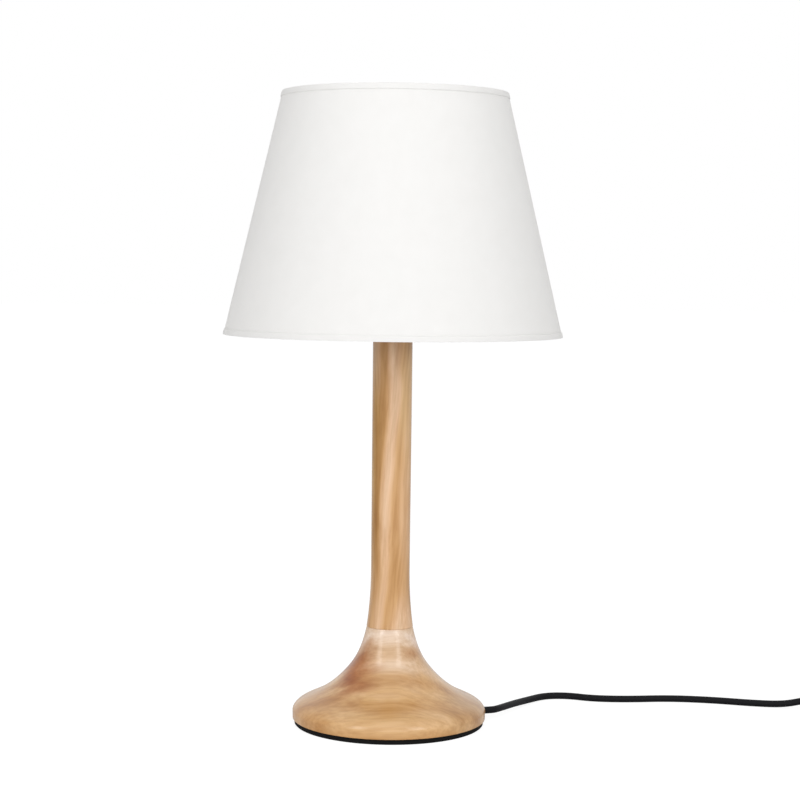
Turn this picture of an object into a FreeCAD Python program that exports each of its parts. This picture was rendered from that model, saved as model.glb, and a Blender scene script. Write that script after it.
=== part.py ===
import FreeCAD, Part

import math
import os

import Sketcher

# A column table lamp. The origin is the middle of the foot pad's underside, +Z is up and -Y is
# the front. All sizes are in millimetres and stand in the sheet, one row each.
SIZES = (
    ("pad_radius", 75.4),
    ("pad_thickness", 4.0),
    ("pad_groove_depth", 1.2),
    ("pad_edge", 0.6),
    ("base_radius", 77.1),
    ("rim_height", 6.5),
    ("seam_height", 78.0),
    ("neck_radius", 18.5),
    ("seam_bevel", 0.5),
    ("cavity_radius", 56.0),
    ("cavity_depth", 15.0),
    ("pocket_radius", 16.0),
    ("pocket_depth", 15.0),
    ("weight_thickness", 13.0),
    ("weight_play", 0.6),
    ("weight_edge", 1.5),
    ("weight_eye_radius", 18.0),
    ("weight_screw_circle", 37.0),
    ("weight_screw_count", 3),
    ("weight_screw_radius", 2.0),
    ("weight_screw_head_radius", 4.2),
    ("weight_screw_head_height", 2.6),
    ("weight_screw_length", 25.0),
    ("screw_play", 0.15),
    ("tube_radius", 5.0),
    ("tube_bore_radius", 4.0),
    ("tube_play", 0.2),
    ("tube_tail", 2.0),
    ("tube_head", 12.5),
    ("nut_flats", 14.0),
    ("nut_height", 3.5),
    ("washer_radius", 12.0),
    ("washer_thickness", 1.5),
    ("tenon_radius", 10.0),
    ("tenon_length", 7.5),
    ("tenon_play", 0.2),
    ("column_top", 315.0),
    ("column_radius", 15.7),
    ("waist_radius", 15.4),
    ("flare_height", 48.0),
    ("collar_radius", 14.6),
    ("collar_thickness", 2.0),
    ("holder_neck_radius", 8.5),
    ("holder_neck_height", 8.0),
    ("holder_radius", 20.0),
    ("holder_cap_height", 26.0),
    ("holder_wall", 2.0),
    ("skirt_height", 6.0),
    ("flange_radius", 23.5),
    ("flange_thickness", 3.0),
    ("barrel_radius", 19.4),
    ("barrel_height", 25.0),
    ("barrel_bore_radius", 15.0),
    ("carrier_height", 10.0),
    ("carrier_lip", 0.8),
    ("contact_well_radius", 5.5),
    ("contact_well_depth", 3.0),
    ("terminal_spread", 8.5),
    ("terminal_radius", 1.5),
    ("terminal_head_radius", 2.6),
    ("terminal_head_height", 1.6),
    ("terminal_length", 6.0),
    ("shell_thickness", 0.5),
    ("shell_height", 20.0),
    ("lamp_cap_radius", 13.1),
    ("lamp_cap_play", 0.4),
    ("lamp_cap_height", 20.0),
    ("bulb_radius", 30.0),
    ("bulb_length", 108.0),
    ("bulb_wall", 1.2),
    ("bulb_waist_height", 52.0),
    ("contact_radius", 3.4),
    ("contact_height", 1.4),
    ("insulator_height", 3.6),
    ("led_board_radius", 22.0),
    ("led_board_thickness", 1.6),
    ("shade_bottom", 310.0),
    ("shade_top", 500.0),
    ("shade_bottom_radius", 135.0),
    ("shade_top_radius", 90.0),
    ("shade_wall", 0.8),
    ("hem_height", 4.4),
    ("hem_thickness", 0.5),
    ("ring_wire_radius", 1.6),
    ("arm_wire_radius", 1.8),
    ("arm_count", 3),
    ("arm_azimuth", 30.0),
    ("arm_flat_share", 0.42),
    ("arm_drop_share", 0.93),
    ("fitter_hole_radius", 20.6),
    ("fitter_radius", 27.0),
    ("fitter_thickness", 1.6),
    ("shade_ring_radius", 25.5),
    ("shade_ring_height", 9.0),
    ("shade_ring_play", 0.3),
    ("seat_gap", 0.3),
    ("cord_radius", 2.8),
    ("cord_exit_height", 6.9),
    ("cord_exit_azimuth", 11.5),
    ("bush_wall", 1.1),
    ("bush_play", 0.1),
    ("bush_length", 16.0),
    ("lead_bend_radius", 13.0),
    ("core_radius", 1.1),
    ("core_spread", 1.3),
    ("sheath_end", 4.0),
    ("switch_centre_x", 396.0),
    ("switch_centre_y", 62.0),
    ("switch_length", 62.0),
    ("switch_width", 27.0),
    ("switch_height", 18.4),
    ("switch_parting", 9.2),
    ("switch_corner", 9.0),
    ("switch_edge", 2.2),
    ("switch_wall", 1.8),
    ("switch_throat", 7.0),
    ("cord_play", 0.1),
    ("rocker_reach", 11.0),
    ("rocker_width", 12.0),
    ("rocker_rise", 2.2),
    ("rocker_dish", 1.3),
    ("rocker_depth", 6.4),
    ("rocker_end_play", 1.3),
    ("rocker_side_play", 0.5),
    ("pin_radius", 1.0),
    ("pin_play", 0.06),
    ("cheek_thickness", 3.0),
    ("switch_screw_spread", 20.0),
    ("switch_screw_radius", 1.4),
    ("switch_screw_head_radius", 2.6),
    ("switch_screw_head_height", 1.6),
    ("switch_screw_length", 12.0),
    ("switch_screw_sink", 0.2),
    ("boss_radius", 3.4),
    ("coil_centre_x", 415.0),
    ("coil_centre_y", -6.0),
    ("coil_outer_radius", 40.8),
    ("coil_turns_per_layer", 3.25),
    ("coil_gap", 0.6),
    ("tie_wall", 0.9),
    ("tie_width", 9.0),
    ("tie_play", 0.4),
    ("plug_entry_x", 447.0),
    ("plug_entry_y", -58.0),
    ("plug_length", 35.0),
    ("plug_width", 26.0),
    ("plug_height", 13.6),
    ("plug_corner", 5.5),
    ("plug_edge", 3.5),
    ("plug_relief_length", 22.0),
    ("plug_relief_radius", 4.4),
    ("plug_pin_radius", 2.0),
    ("plug_pin_length", 19.0),
    ("plug_pin_spacing", 19.0),
    ("plug_pin_tip", 9.0),
    ("plug_pin_neck_radius", 1.75),
    ("plug_pin_root", 8.0),
)

# The cord's free stretches as they lie on the table, seen from above: x, y and centre height.
LEAD_ROUTE = (
    (103.0, 49.5, 4.9),
    (115.0, 69.5, 3.3),
    (131.0, 89.0, 2.8),
    (151.0, 91.0, 2.8),
    (171.0, 81.0, 2.8),
    (200.0, 79.5, 2.8),
    (236.0, 85.0, 2.8),
    (272.0, 80.0, 2.8),
    (304.0, 70.0, 2.8),
    (328.0, 65.5, 3.1),
    (343.0, 63.0, 6.4),
    (355.0, 62.0, 9.2),
)
LINK_ROUTE = (
    (438.0, 61.4, 8.4),
    (450.0, 55.5, 5.6),
    (457.0, 42.0, 4.0),
    (458.2, 26.0, 3.7),
    (456.6, 11.0, 3.7),
)
TAIL_ROUTE = (
    (456.2, -22.0, 9.9),
    (452.0, -34.0, 8.0),
    (447.0, -46.0, 6.8),
)
BOW_END = (90.9, 26.8, 6.4)

doc = FreeCAD.newDocument("ColumnLamp")
Vector = FreeCAD.Vector
UP = Vector(0, 0, 1)
pieces = {}


class Length:
    """A size that carries its number and the sheet expression that the number comes from."""

    def __init__(self, text, value):
        self.text = text
        self.value = value

    def joined(self, sign, other, value):
        return Length("(%s %s %s)" % (self.text, sign, other.text), value)

    def __add__(self, other):
        other = length(other)
        return self.joined("+", other, self.value + other.value)

    def __sub__(self, other):
        other = length(other)
        return self.joined("-", other, self.value - other.value)

    def __mul__(self, other):
        other = length(other)
        return self.joined("*", other, self.value * other.value)

    def __truediv__(self, other):
        other = length(other)
        return self.joined("/", other, self.value / other.value)

    def __radd__(self, other):
        return length(other) + self

    def __rsub__(self, other):
        return length(other) - self

    def __rmul__(self, other):
        return length(other) * self


def length(number):
    if isinstance(number, Length):
        return number
    return Length(repr(float(number)), float(number))


class Curve:
    """A smooth stretch of an outline, given by its poles; the last one is where it ends."""

    def __init__(self, poles):
        self.poles = poles


def fill_sheet():
    sheet = doc.addObject("Spreadsheet::Sheet", "Size")
    for row, (name, value) in enumerate(SIZES, start=1):
        sheet.set("A%d" % row, name)
        sheet.set("B%d" % row, str(value))
        sheet.setAlias("B%d" % row, name)
    doc.recompute()
    return sheet


size_sheet = fill_sheet()


def size(name):
    return Length("Size.%s" % name, float(size_sheet.get(name)))


def bind(item, **texts):
    """Tie properties of ITEM to the sheet; double underscores stand for dots in their names."""
    for name, value in texts.items():
        item.setExpression(name.replace("__", "."), length(value).text)


def keep(name, item):
    item.Label = name
    pieces[name] = item
    return item


# ---------------------------------------------------------------- sketches and turned pieces


def plane_of(body, role):
    return [plane for plane in body.Origin.OriginFeatures if plane.Role == role][0]


def attach(sketch, body, role, offset=None):
    sketch.AttachmentSupport = [(plane_of(body, role), "")]
    sketch.MapMode = "FlatFace"
    if offset is not None:
        bind(sketch, AttachmentOffset__Base__z=offset)


def hold_point(sketch, geometry, end, x, y):
    """Fix a point of the sketch by two sizes measured from the sketch's origin."""
    for kind, value, axis in (("DistanceX", length(x), -2), ("DistanceY", length(y), -1)):
        if value.value == 0.0:
            sketch.addConstraint(Sketcher.Constraint("PointOnObject", geometry, end, axis))
            continue
        at = Sketcher.Constraint(kind, -1, 1, geometry, end, value.value)
        sketch.setExpression("Constraints[%d]" % sketch.addConstraint(at), value.text)


def flat(point):
    return Vector(length(point[0]).value, length(point[1]).value, 0)


def draw_outline(sketch, outline):
    """Draw a closed outline of straight and smooth stretches, each corner held by sizes."""
    start = outline[0]
    runs = []
    for step in list(outline[1:]) + [outline[0]]:
        if isinstance(step, Curve):
            poles = [start] + list(step.poles)
            spline = Part.BSplineCurve([flat(p) for p in poles], None, None, False, 3, None, False)
            run = sketch.addGeometry(spline, False)
            sketch.exposeInternalGeometry(run)
            for count, pole in enumerate(poles[1:-1], start=2):
                hold_point(sketch, run + count, 3, pole[0], pole[1])
            end = step.poles[-1]
        else:
            run = sketch.addGeometry(Part.LineSegment(flat(start), flat(step)), False)
            end = step
        runs.append((run, start, end, sketch.Geometry[run]))
        start = end
    ends = []
    for run, begin, end, shape in runs:
        forward = (shape.StartPoint - flat(begin)).Length < (shape.EndPoint - flat(begin)).Length
        ends.append((1, 2) if forward else (2, 1))
    for number, (run, begin, end, shape) in enumerate(runs):
        hold_point(sketch, run, ends[number][0], begin[0], begin[1])
        after = (number + 1) % len(runs)
        meet = Sketcher.Constraint("Coincident", run, ends[number][1],
                                   runs[after][0], ends[after][0])
        sketch.addConstraint(meet)


def turned(name, outline):
    """A piece turned about the lamp's axis: OUTLINE gives radius and height of each corner."""
    body = doc.addObject("PartDesign::Body", name)
    sketch = body.newObject("Sketcher::SketchObject", name + "_outline")
    attach(sketch, body, "XZ_Plane")
    draw_outline(sketch, outline)
    turning = body.newObject("PartDesign::Revolution", name + "_turning")
    turning.Profile = sketch
    turning.ReferenceAxis = (sketch, ["V_Axis"])
    turning.Angle = 360
    doc.recompute()
    return keep(name, body)


def sleeve_outline(inner, outer, low, high):
    return ((inner, low), (outer, low), (outer, high), (inner, high))


def cut_taken(body, before):
    doc.recompute()
    if body.Shape.Volume >= before - 1e-6:
        raise RuntimeError("a cut in %s takes nothing away" % body.Label)


def round_cut(body, name, role, centre, radius, offset, depth, reverse=True, count=None):
    """Cut a round hole, and repeat it about the body's own Z axis where COUNT is given."""
    before = body.Shape.Volume
    sketch = body.newObject("Sketcher::SketchObject", name + "_circle")
    attach(sketch, body, role, offset)
    circle = Part.Circle(flat(centre), UP, length(radius).value)
    sketch.addGeometry(circle, False)
    hold_point(sketch, 0, 3, centre[0], centre[1])
    wide = Sketcher.Constraint("Radius", 0, length(radius).value)
    sketch.setExpression("Constraints[%d]" % sketch.addConstraint(wide), length(radius).text)
    pocket = body.newObject("PartDesign::Pocket", name)
    pocket.Profile = sketch
    pocket.Reversed = reverse
    bind(pocket, Length=depth)
    cut_taken(body, before)
    if count is not None:
        pattern = body.newObject("PartDesign::PolarPattern", name + "_round")
        pattern.Originals = [pocket]
        pattern.Axis = (sketch, ["N_Axis"])
        pattern.Angle = 360
        bind(pattern, Occurrences=count)
        body.Tip = pattern
        doc.recompute()


def slot_cut(body, name, half_width, reach, low, depth, start=0):
    """Cut a straight slot along the body's own +X, from height LOW upwards by DEPTH."""
    before = body.Shape.Volume
    sketch = body.newObject("Sketcher::SketchObject", name + "_outline")
    attach(sketch, body, "XY_Plane", low)
    corners = ((start, -1), (reach, -1), (reach, 1), (start, 1))
    for number, (x, side) in enumerate(corners):
        after = corners[(number + 1) % 4]
        begin = Vector(length(x).value, side * length(half_width).value, 0)
        end = Vector(length(after[0]).value, after[1] * length(half_width).value, 0)
        sketch.addGeometry(Part.LineSegment(begin, end), False)
    for number, (x, side) in enumerate(corners):
        hold_point(sketch, number, 1, x, length(half_width) * side)
        meet = Sketcher.Constraint("Coincident", number, 2, (number + 1) % 4, 1)
        sketch.addConstraint(meet)
    pocket = body.newObject("PartDesign::Pocket", name)
    pocket.Profile = sketch
    pocket.Reversed = True
    bind(pocket, Length=depth)
    cut_taken(body, before)


def turn_about_axis(item, degrees):
    item.setExpression("Placement.Rotation.Angle", "%s * 1deg" % length(degrees).text)


# ---------------------------------------------------------------- plain solids and groups


def rod(name, radius, height, at=(0, 0, 0)):
    item = doc.addObject("Part::Cylinder", name)
    bind(item, Radius=radius, Height=height, Placement__Base__x=at[0],
         Placement__Base__y=at[1], Placement__Base__z=at[2])
    return item


def rod_along_x(name, radius, height, at):
    item = rod(name, radius, height, at)
    item.Placement.Rotation = FreeCAD.Rotation(Vector(0, 1, 0), 90)
    return item


def rod_along_y(name, radius, height, at):
    item = rod(name, radius, height, at)
    item.Placement.Rotation = FreeCAD.Rotation(Vector(1, 0, 0), -90)
    return item


def block(name, sizes, at):
    item = doc.addObject("Part::Box", name)
    bind(item, Length=sizes[0], Width=sizes[1], Height=sizes[2], Placement__Base__x=at[0],
         Placement__Base__y=at[1], Placement__Base__z=at[2])
    return item


def cut(name, base, tools):
    """BASE with every tool taken out of it, one after another."""
    item = base
    for number, tool in enumerate(tools):
        last = number == len(tools) - 1
        before = item
        item = doc.addObject("Part::Cut", name if last else "%s_cut%d" % (name, number))
        item.Base = before
        item.Tool = tool
    doc.recompute()
    return item


def fused(name, shapes):
    item = doc.addObject("Part::MultiFuse", name)
    item.Shapes = shapes
    doc.recompute()
    return item


def group(name, solids):
    item = doc.addObject("Part::Compound", name)
    item.Links = solids
    doc.recompute()
    return item


def rounded(name, box, corner, edge, edge_height):
    """Round a box's upright edges by CORNER and its rim at EDGE_HEIGHT by EDGE."""
    doc.recompute()
    marks = []
    for number, line in enumerate(box.Shape.Edges, start=1):
        bounds = line.BoundBox
        if bounds.ZLength > 1e-6:
            marks.append((number, corner.value, corner.value))
        elif abs(bounds.ZMin - edge_height.value) < 1e-6:
            marks.append((number, edge.value, edge.value))
    item = doc.addObject("Part::Fillet", name)
    item.Base = box
    item.Edges = marks
    doc.recompute()
    return item


def hex_nut(name, low):
    nut = doc.addObject("Part::Prism", name + "_hexagon")
    nut.Polygon = 6
    bind(nut, Circumradius=size("nut_flats") / math.sqrt(3), Height=size("nut_height"),
         Placement__Base__z=low)
    hole = rod(name + "_hole", size("tube_radius") + size("screw_play"), size("nut_height"),
               (0, 0, low))
    return keep(name, cut(name, nut, [hole]))


# ---------------------------------------------------------------- wires and cords


def fixed_shape(name, shape):
    item = doc.addObject("Part::Feature", name)
    item.Shape = shape
    return keep(name, item)


def pipe_along(edges, radius):
    """A round solid of RADIUS along joined tangent edges, measured against its own path."""
    path = Part.Wire(edges)
    start = edges[0].valueAt(edges[0].FirstParameter)
    way = edges[0].tangentAt(edges[0].FirstParameter)
    ring = Part.Wire([Part.Edge(Part.Circle(start, way, radius))])
    tube = path.makePipeShell([ring], True, False)
    wanted = math.pi * radius ** 2 * path.Length
    print("tube: length %.1f, volume %.0f, section times length %.0f"
          % (path.Length, tube.Volume, wanted))
    return tube


def route_edges(name, points, bends=None):
    """Straight runs through POINTS joined by tangent arcs as large as the runs allow."""
    corners = [Vector(*point) for point in points]
    edges = []
    begin = corners[0]
    radii = []
    for number in range(1, len(corners) - 1):
        before = corners[number] - corners[number - 1]
        after = corners[number + 1] - corners[number]
        half_turn = before.getAngle(after) / 2
        reach = 0.45 * min(before.Length, after.Length)
        if bends is not None:
            reach = bends * math.tan(half_turn)
        radii.append(reach / math.tan(half_turn))
        into = corners[number] - before.normalize() * reach
        out = corners[number] + after.normalize() * reach
        toward = ((into + out) * 0.5 - corners[number]).normalize()
        to_centre = math.hypot(reach, radii[-1])
        middle = corners[number] + toward * (to_centre - radii[-1])
        edges.append(Part.LineSegment(begin, into).toShape())
        edges.append(Part.Arc(into, middle, out).toShape())
        begin = out
    edges.append(Part.LineSegment(begin, corners[-1]).toShape())
    print("%s: arc radii %s" % (name, ", ".join("%.1f" % radius for radius in radii)))
    return edges


def biarc(start, start_way, end, end_way):
    """Two tangent arcs from START to END that leave and arrive along the given ways."""
    span = end - start
    both = start_way + end_way
    bend = 1 - start_way.dot(end_way)
    root = math.sqrt(span.dot(both) ** 2 + 2 * bend * span.dot(span))
    reach = (root - span.dot(both)) / (2 * bend)
    first_pole = start + start_way * reach
    last_pole = end - end_way * reach
    joint = (first_pole + last_pole) * 0.5
    arcs = []
    for begin, pole, finish in ((start, first_pole, joint), (joint, last_pole, end)):
        middle = (begin + finish) * 0.5
        half = (finish - begin).Length / 2
        lean = (pole - begin).getAngle(finish - begin)
        crown = middle + (pole - middle).normalize() * (half * math.tan(lean / 2))
        arcs.append(Part.Arc(begin, crown, finish).toShape())
    return arcs


# ---------------------------------------------------------------- foot, base and column


def make_base_pad():
    thickness = size("pad_thickness")
    edge = size("pad_edge")
    pad = turned("base_pad", (
        (0, 0), (size("pad_radius") - edge, 0), (size("pad_radius"), edge),
        (size("pad_radius"), thickness), (0, thickness)))
    slot_cut(pad, "cord_groove", size("cord_radius") + 1, size("pad_radius") + 1,
             thickness - size("pad_groove_depth"), size("pad_groove_depth") + 1)
    turn_about_axis(pad, size("cord_exit_azimuth"))


def cavity_top():
    return size("pad_thickness") + size("cavity_depth")


def pocket_top():
    return cavity_top() + size("pocket_depth")


def make_wooden_base():
    foot = size("pad_thickness")
    wide = size("base_radius")
    neck = size("neck_radius")
    seam = size("seam_height")
    rim = foot + size("rim_height")
    spread = wide - neck
    climb = seam - rim
    bore = size("tube_radius") + size("tube_play")
    recess = size("tenon_radius") + size("tenon_play")
    recess_floor = seam - size("tenon_length") - size("tenon_play")
    bevel = size("seam_bevel")
    sweep = Curve((
        (wide, rim + climb * 0.024),
        (neck + spread * 0.947, rim + climb * 0.096),
        (neck + spread * 0.754, rim + climb * 0.164),
        (neck + spread * 0.538, rim + climb * 0.259),
        (neck + spread * 0.258, rim + climb * 0.474),
        (neck + spread * 0.070, rim + climb * 0.710),
        (neck, seam - bevel)))
    base = turned("wooden_base", (
        (bore, pocket_top()), (size("pocket_radius"), pocket_top()),
        (size("pocket_radius"), cavity_top()), (size("cavity_radius"), cavity_top()),
        (size("cavity_radius"), foot), (wide - bevel * 2, foot), (wide - bevel * 0.4, foot + bevel),
        (wide, rim), sweep, (neck - bevel, seam), (recess, seam),
        (recess, recess_floor), (bore, recess_floor)))
    hole = size("cord_radius") + size("bush_wall") + size("bush_play")
    round_cut(base, "cord_hole", "YZ_Plane", (0, size("cord_exit_height")), hole, 0,
              wide + 1)
    round_cut(base, "pilot_hole", "XY_Plane", (size("weight_screw_circle") * -1, 0),
              size("weight_screw_radius") + size("screw_play"), cavity_top(),
              size("weight_screw_length") - size("weight_thickness") + 1,
              count=size("weight_screw_count"))
    turn_about_axis(base, size("cord_exit_azimuth"))


def weight_underside():
    return cavity_top() - size("weight_thickness")


def make_base_weight():
    low = weight_underside()
    high = cavity_top()
    outer = size("cavity_radius") - size("weight_play")
    edge = size("weight_edge")
    weight = turned("base_weight", (
        (size("weight_eye_radius"), low), (outer - edge, low), (outer, low + edge),
        (outer, high), (size("weight_eye_radius"), high)))
    slot_cut(weight, "cord_slot", size("cord_radius") + 0.8, size("cavity_radius") + 1,
             low - 1, size("cord_exit_height") + size("cord_radius") + 0.8 - low + 1)
    clear = size("weight_screw_radius") + size("screw_play")
    round_cut(weight, "screw_hole", "XY_Plane", (size("weight_screw_circle") * -1, 0), clear, low,
              size("weight_thickness"), count=size("weight_screw_count"))
    head = size("weight_screw_head_radius") + size("screw_play")
    round_cut(weight, "screw_seat", "XY_Plane", (size("weight_screw_circle") * -1, 0), head, low,
              size("weight_screw_head_height"), count=size("weight_screw_count"))
    turn_about_axis(weight, size("cord_exit_azimuth"))


def make_weight_screws():
    """The screws stand on both sides of the cord's slot and opposite to it."""
    low = weight_underside()
    screws = []
    count = int(size("weight_screw_count").value)
    for number in range(count):
        turn = (number + 0.5) * 360 / count
        azimuth = math.radians(size("cord_exit_azimuth").value + turn)
        x = size("weight_screw_circle") * math.cos(azimuth)
        y = size("weight_screw_circle") * math.sin(azimuth)
        head = rod("weight_screw_head%d" % number, size("weight_screw_head_radius"),
                   size("weight_screw_head_height"), (x, y, low))
        shank = rod("weight_screw_shank%d" % number, size("weight_screw_radius"),
                    size("weight_screw_length"), (x, y, low))
        screws.append(fused("weight_screw%d" % number, [head, shank]))
    keep("weight_screws", group("weight_screws", screws))


def tube_bottom():
    return pocket_top() - size("washer_thickness") - size("nut_height") - size("tube_tail")


def holder_foot():
    return size("column_top") + size("collar_thickness") + size("nut_height")


def tube_top():
    return size("column_top") + size("tube_head")


def make_tube():
    turned("threaded_tube", sleeve_outline(size("tube_bore_radius"), size("tube_radius"),
                                           tube_bottom(), tube_top()))
    washer_low = pocket_top() - size("washer_thickness")
    turned("lower_washer", sleeve_outline(size("tube_radius") + size("screw_play"),
                                          size("washer_radius"), washer_low, pocket_top()))
    hex_nut("lower_nut", washer_low - size("nut_height"))
    hex_nut("upper_nut", size("column_top") + size("collar_thickness"))


def make_wooden_column():
    seam = size("seam_height")
    neck = size("neck_radius")
    waist = size("waist_radius")
    bevel = size("seam_bevel")
    flare_top = seam + size("flare_height")
    step = size("flare_height")
    bore = size("tube_radius") + size("tube_play")
    flare = Curve((
        (neck - (neck - waist) * 0.34, seam + step * 0.16),
        (neck - (neck - waist) * 0.80, seam + step * 0.45),
        (waist, seam + step * 0.75),
        (waist, flare_top)))
    turned("wooden_column", (
        (bore, seam - size("tenon_length")), (size("tenon_radius"), seam - size("tenon_length")),
        (size("tenon_radius"), seam), (neck - bevel * 0.6, seam), (neck, seam + bevel * 0.6),
        flare, (size("column_radius"), size("column_top")), (bore, size("column_top"))))


# ---------------------------------------------------------------- lampholder


def flange_low():
    return holder_foot() + size("holder_cap_height")


def flange_top():
    return flange_low() + size("flange_thickness")


def carrier_top():
    return flange_low() + size("skirt_height")


def barrel_top():
    return flange_top() + size("barrel_height")


def make_collar():
    turned("column_collar", (
        (size("tube_radius") + size("screw_play"), size("column_top")),
        (size("collar_radius"), size("column_top")),
        (size("collar_radius"), size("column_top") + size("collar_thickness") * 0.5),
        (size("collar_radius") - 1, size("column_top") + size("collar_thickness")),
        (size("tube_radius") + size("screw_play"), size("column_top") + size("collar_thickness"))))


def make_holder_cap():
    low = holder_foot()
    neck_top = low + size("holder_neck_height")
    bow = size("holder_radius") - size("holder_neck_radius")
    dome = neck_top + bow
    high = flange_low()
    wall = size("holder_wall")
    bore = size("tube_radius") + size("screw_play")
    inner = size("holder_radius") - wall
    inner_bow = bow - wall
    turned("holder_cap", (
        (bore, low), (size("holder_neck_radius"), low), (size("holder_neck_radius"), neck_top),
        Curve(((size("holder_neck_radius") + bow * 0.55, neck_top),
               (size("holder_radius"), dome - bow * 0.55), (size("holder_radius"), dome))),
        (size("holder_radius"), high), (inner, high), (inner, dome),
        Curve(((inner, dome - inner_bow * 0.55),
               (size("holder_neck_radius") + inner_bow * 0.55, neck_top + wall),
               (size("holder_neck_radius"), neck_top + wall))),
        (bore, neck_top + wall)))


def make_holder_body():
    skirt_outer = size("holder_radius") - size("holder_wall") - size("seat_gap") * 0.5
    bore = size("barrel_bore_radius")
    room = carrier_radius() + size("seat_gap") * 0.5
    turned("holder_body", (
        (room, flange_low() - size("skirt_height")),
        (skirt_outer, flange_low() - size("skirt_height")), (skirt_outer, flange_low()),
        (size("flange_radius"), flange_low()), (size("flange_radius"), flange_top()),
        (size("barrel_radius"), flange_top()), (size("barrel_radius"), barrel_top()),
        (bore, barrel_top()), (bore, carrier_top()), (room, carrier_top())))


def carrier_radius():
    return size("barrel_bore_radius") + size("carrier_lip")


def carrier_low():
    return carrier_top() - size("carrier_height")


def make_contact_carrier():
    well = size("contact_well_radius")
    floor = carrier_top() - size("contact_well_depth")
    carrier = turned("contact_carrier", (
        (0, carrier_low()), (carrier_radius(), carrier_low()), (carrier_radius(), carrier_top()),
        (well, carrier_top()), (well, floor), (0, floor)))
    round_cut(carrier, "terminal_hole", "XY_Plane", (size("terminal_spread"), 0),
              size("terminal_radius") + size("screw_play"), carrier_low(),
              size("terminal_length") + 0.5, count=length(2))


def make_terminal_screws():
    screws = []
    for side in (-1, 1):
        x = size("terminal_spread") * side
        head = rod("terminal_head", size("terminal_head_radius"), size("terminal_head_height"),
                   (x, 0, carrier_low() - size("terminal_head_height")))
        shank = rod("terminal_shank", size("terminal_radius"), size("terminal_length"),
                    (x, 0, carrier_low()))
        screws.append(fused("terminal_screw", [head, shank]))
    keep("terminal_screws", group("terminal_screws", screws))


def make_screw_shell():
    inner = size("lamp_cap_radius") + size("lamp_cap_play")
    outer = inner + size("shell_thickness")
    low = carrier_top()
    turned("screw_shell", (
        (size("contact_well_radius") + 1, low), (outer, low), (outer, low + size("shell_height")),
        (inner, low + size("shell_height")), (inner, low + size("shell_thickness")),
        (size("contact_well_radius") + 1, low + size("shell_thickness"))))


def bulb_foot():
    return carrier_top() + size("shell_thickness") + size("seat_gap")


def make_centre_contact():
    """A bent brass tongue that stands in the carrier's well and presses on the bulb's contact."""
    floor = carrier_top().value - size("contact_well_depth").value
    top = bulb_foot().value - 0.1
    strip = 0.5
    reach = size("contact_well_radius").value - 0.8
    half = 2.0
    below = [Vector(-reach, 0, floor), Vector(reach, 0, floor), Vector(reach, 0, floor + strip),
             Vector(-reach + strip + 0.8, 0, floor + strip), Vector(0, 0, top - strip),
             Vector(reach - 0.6, 0, top - strip), Vector(reach - 0.6, 0, top),
             Vector(-0.4, 0, top), Vector(-reach, 0, floor + strip)]
    face = Part.Face(Part.makePolygon(below + [below[0]]))
    tongue = face.extrude(Vector(0, 2 * half, 0))
    tongue.translate(Vector(0, -half, 0))
    fixed_shape("centre_contact", tongue)


def make_shade_ring():
    inner = size("barrel_radius") + size("shade_ring_play")
    low = flange_top() + size("fitter_thickness") + size("seat_gap")
    high = low + size("shade_ring_height")
    outer = size("shade_ring_radius")
    turned("shade_ring", (
        (inner, low), (outer, low), (outer, low + 2.5), (outer - 2.5, low + 4),
        (outer - 2.5, high - 0.8), (outer - 3.3, high), (inner, high)))


# ---------------------------------------------------------------- bulb


def globe(name, radius, height, low_angle):
    item = doc.addObject("Part::Sphere", name)
    bind(item, Radius=radius, Placement__Base__z=height)
    item.Angle1 = low_angle
    return item


def make_bulb():
    foot = bulb_foot()
    cap_low = foot + size("contact_height") + size("insulator_height")
    cap_high = cap_low + size("lamp_cap_height")
    waist = foot + size("bulb_waist_height")
    top = foot + size("bulb_length")
    round_radius = size("bulb_radius")
    globe_middle = top - round_radius
    rim = round_radius * 0.9
    # the globe's rim lies on its own sphere, this far under the sphere's middle
    drop_share = math.sqrt(1 - 0.9 ** 2)
    rim_height = globe_middle - round_radius * drop_share
    cap = size("lamp_cap_radius")
    turned("bulb_contact", (
        (0, foot), (size("contact_radius") - 1, foot),
        (size("contact_radius"), foot + size("contact_height")),
        (0, foot + size("contact_height"))))
    turned("bulb_insulator", (
        (0, foot + size("contact_height")), (size("contact_radius"), foot + size("contact_height")),
        (cap * 0.78, cap_low), (0, cap_low)))
    turned("bulb_cap", (
        (0, cap_low), (cap * 0.78, cap_low), (cap, cap_low + 2.5), (cap, cap_high), (0, cap_high)))
    turned("bulb_housing", (
        (0, cap_high), (cap + 0.8, cap_high), (cap + 1.4, cap_high + 1),
        (cap + 2.2, cap_high + 6),
        Curve(((cap + 4.5, cap_high + 12), (rim - 1.5, waist - 12), (rim, waist - 4),
               (rim, rim_height))),
        (0, rim_height)))
    outside = globe("globe_outside", round_radius, globe_middle, -math.degrees(math.asin(drop_share)))
    inside = globe("globe_inside", round_radius - size("bulb_wall"), globe_middle, -90)
    keep("bulb_globe", cut("bulb_globe", outside, [inside]))
    turned("led_board", (
        (0, rim_height), (size("led_board_radius"), rim_height),
        (size("led_board_radius"), rim_height + size("led_board_thickness")),
        (0, rim_height + size("led_board_thickness"))))


# ---------------------------------------------------------------- shade


def shade_slope():
    run = size("shade_bottom_radius") - size("shade_top_radius")
    return run / (size("shade_top") - size("shade_bottom"))


def shade_outside(height):
    """The shade's outer radius at a height above the table."""
    return size("shade_bottom_radius") - (height - size("shade_bottom")) * shade_slope()


def make_shade_skin():
    low = size("shade_bottom") + size("hem_thickness")
    high = size("shade_top") - size("hem_thickness")
    outset = size("hem_thickness") + 0.1
    wall = size("shade_wall")
    turned("shade_skin", (
        (shade_outside(low) - outset - wall, low), (shade_outside(low) - outset, low),
        (shade_outside(high) - outset, high), (shade_outside(high) - outset - wall, high)))


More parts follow.
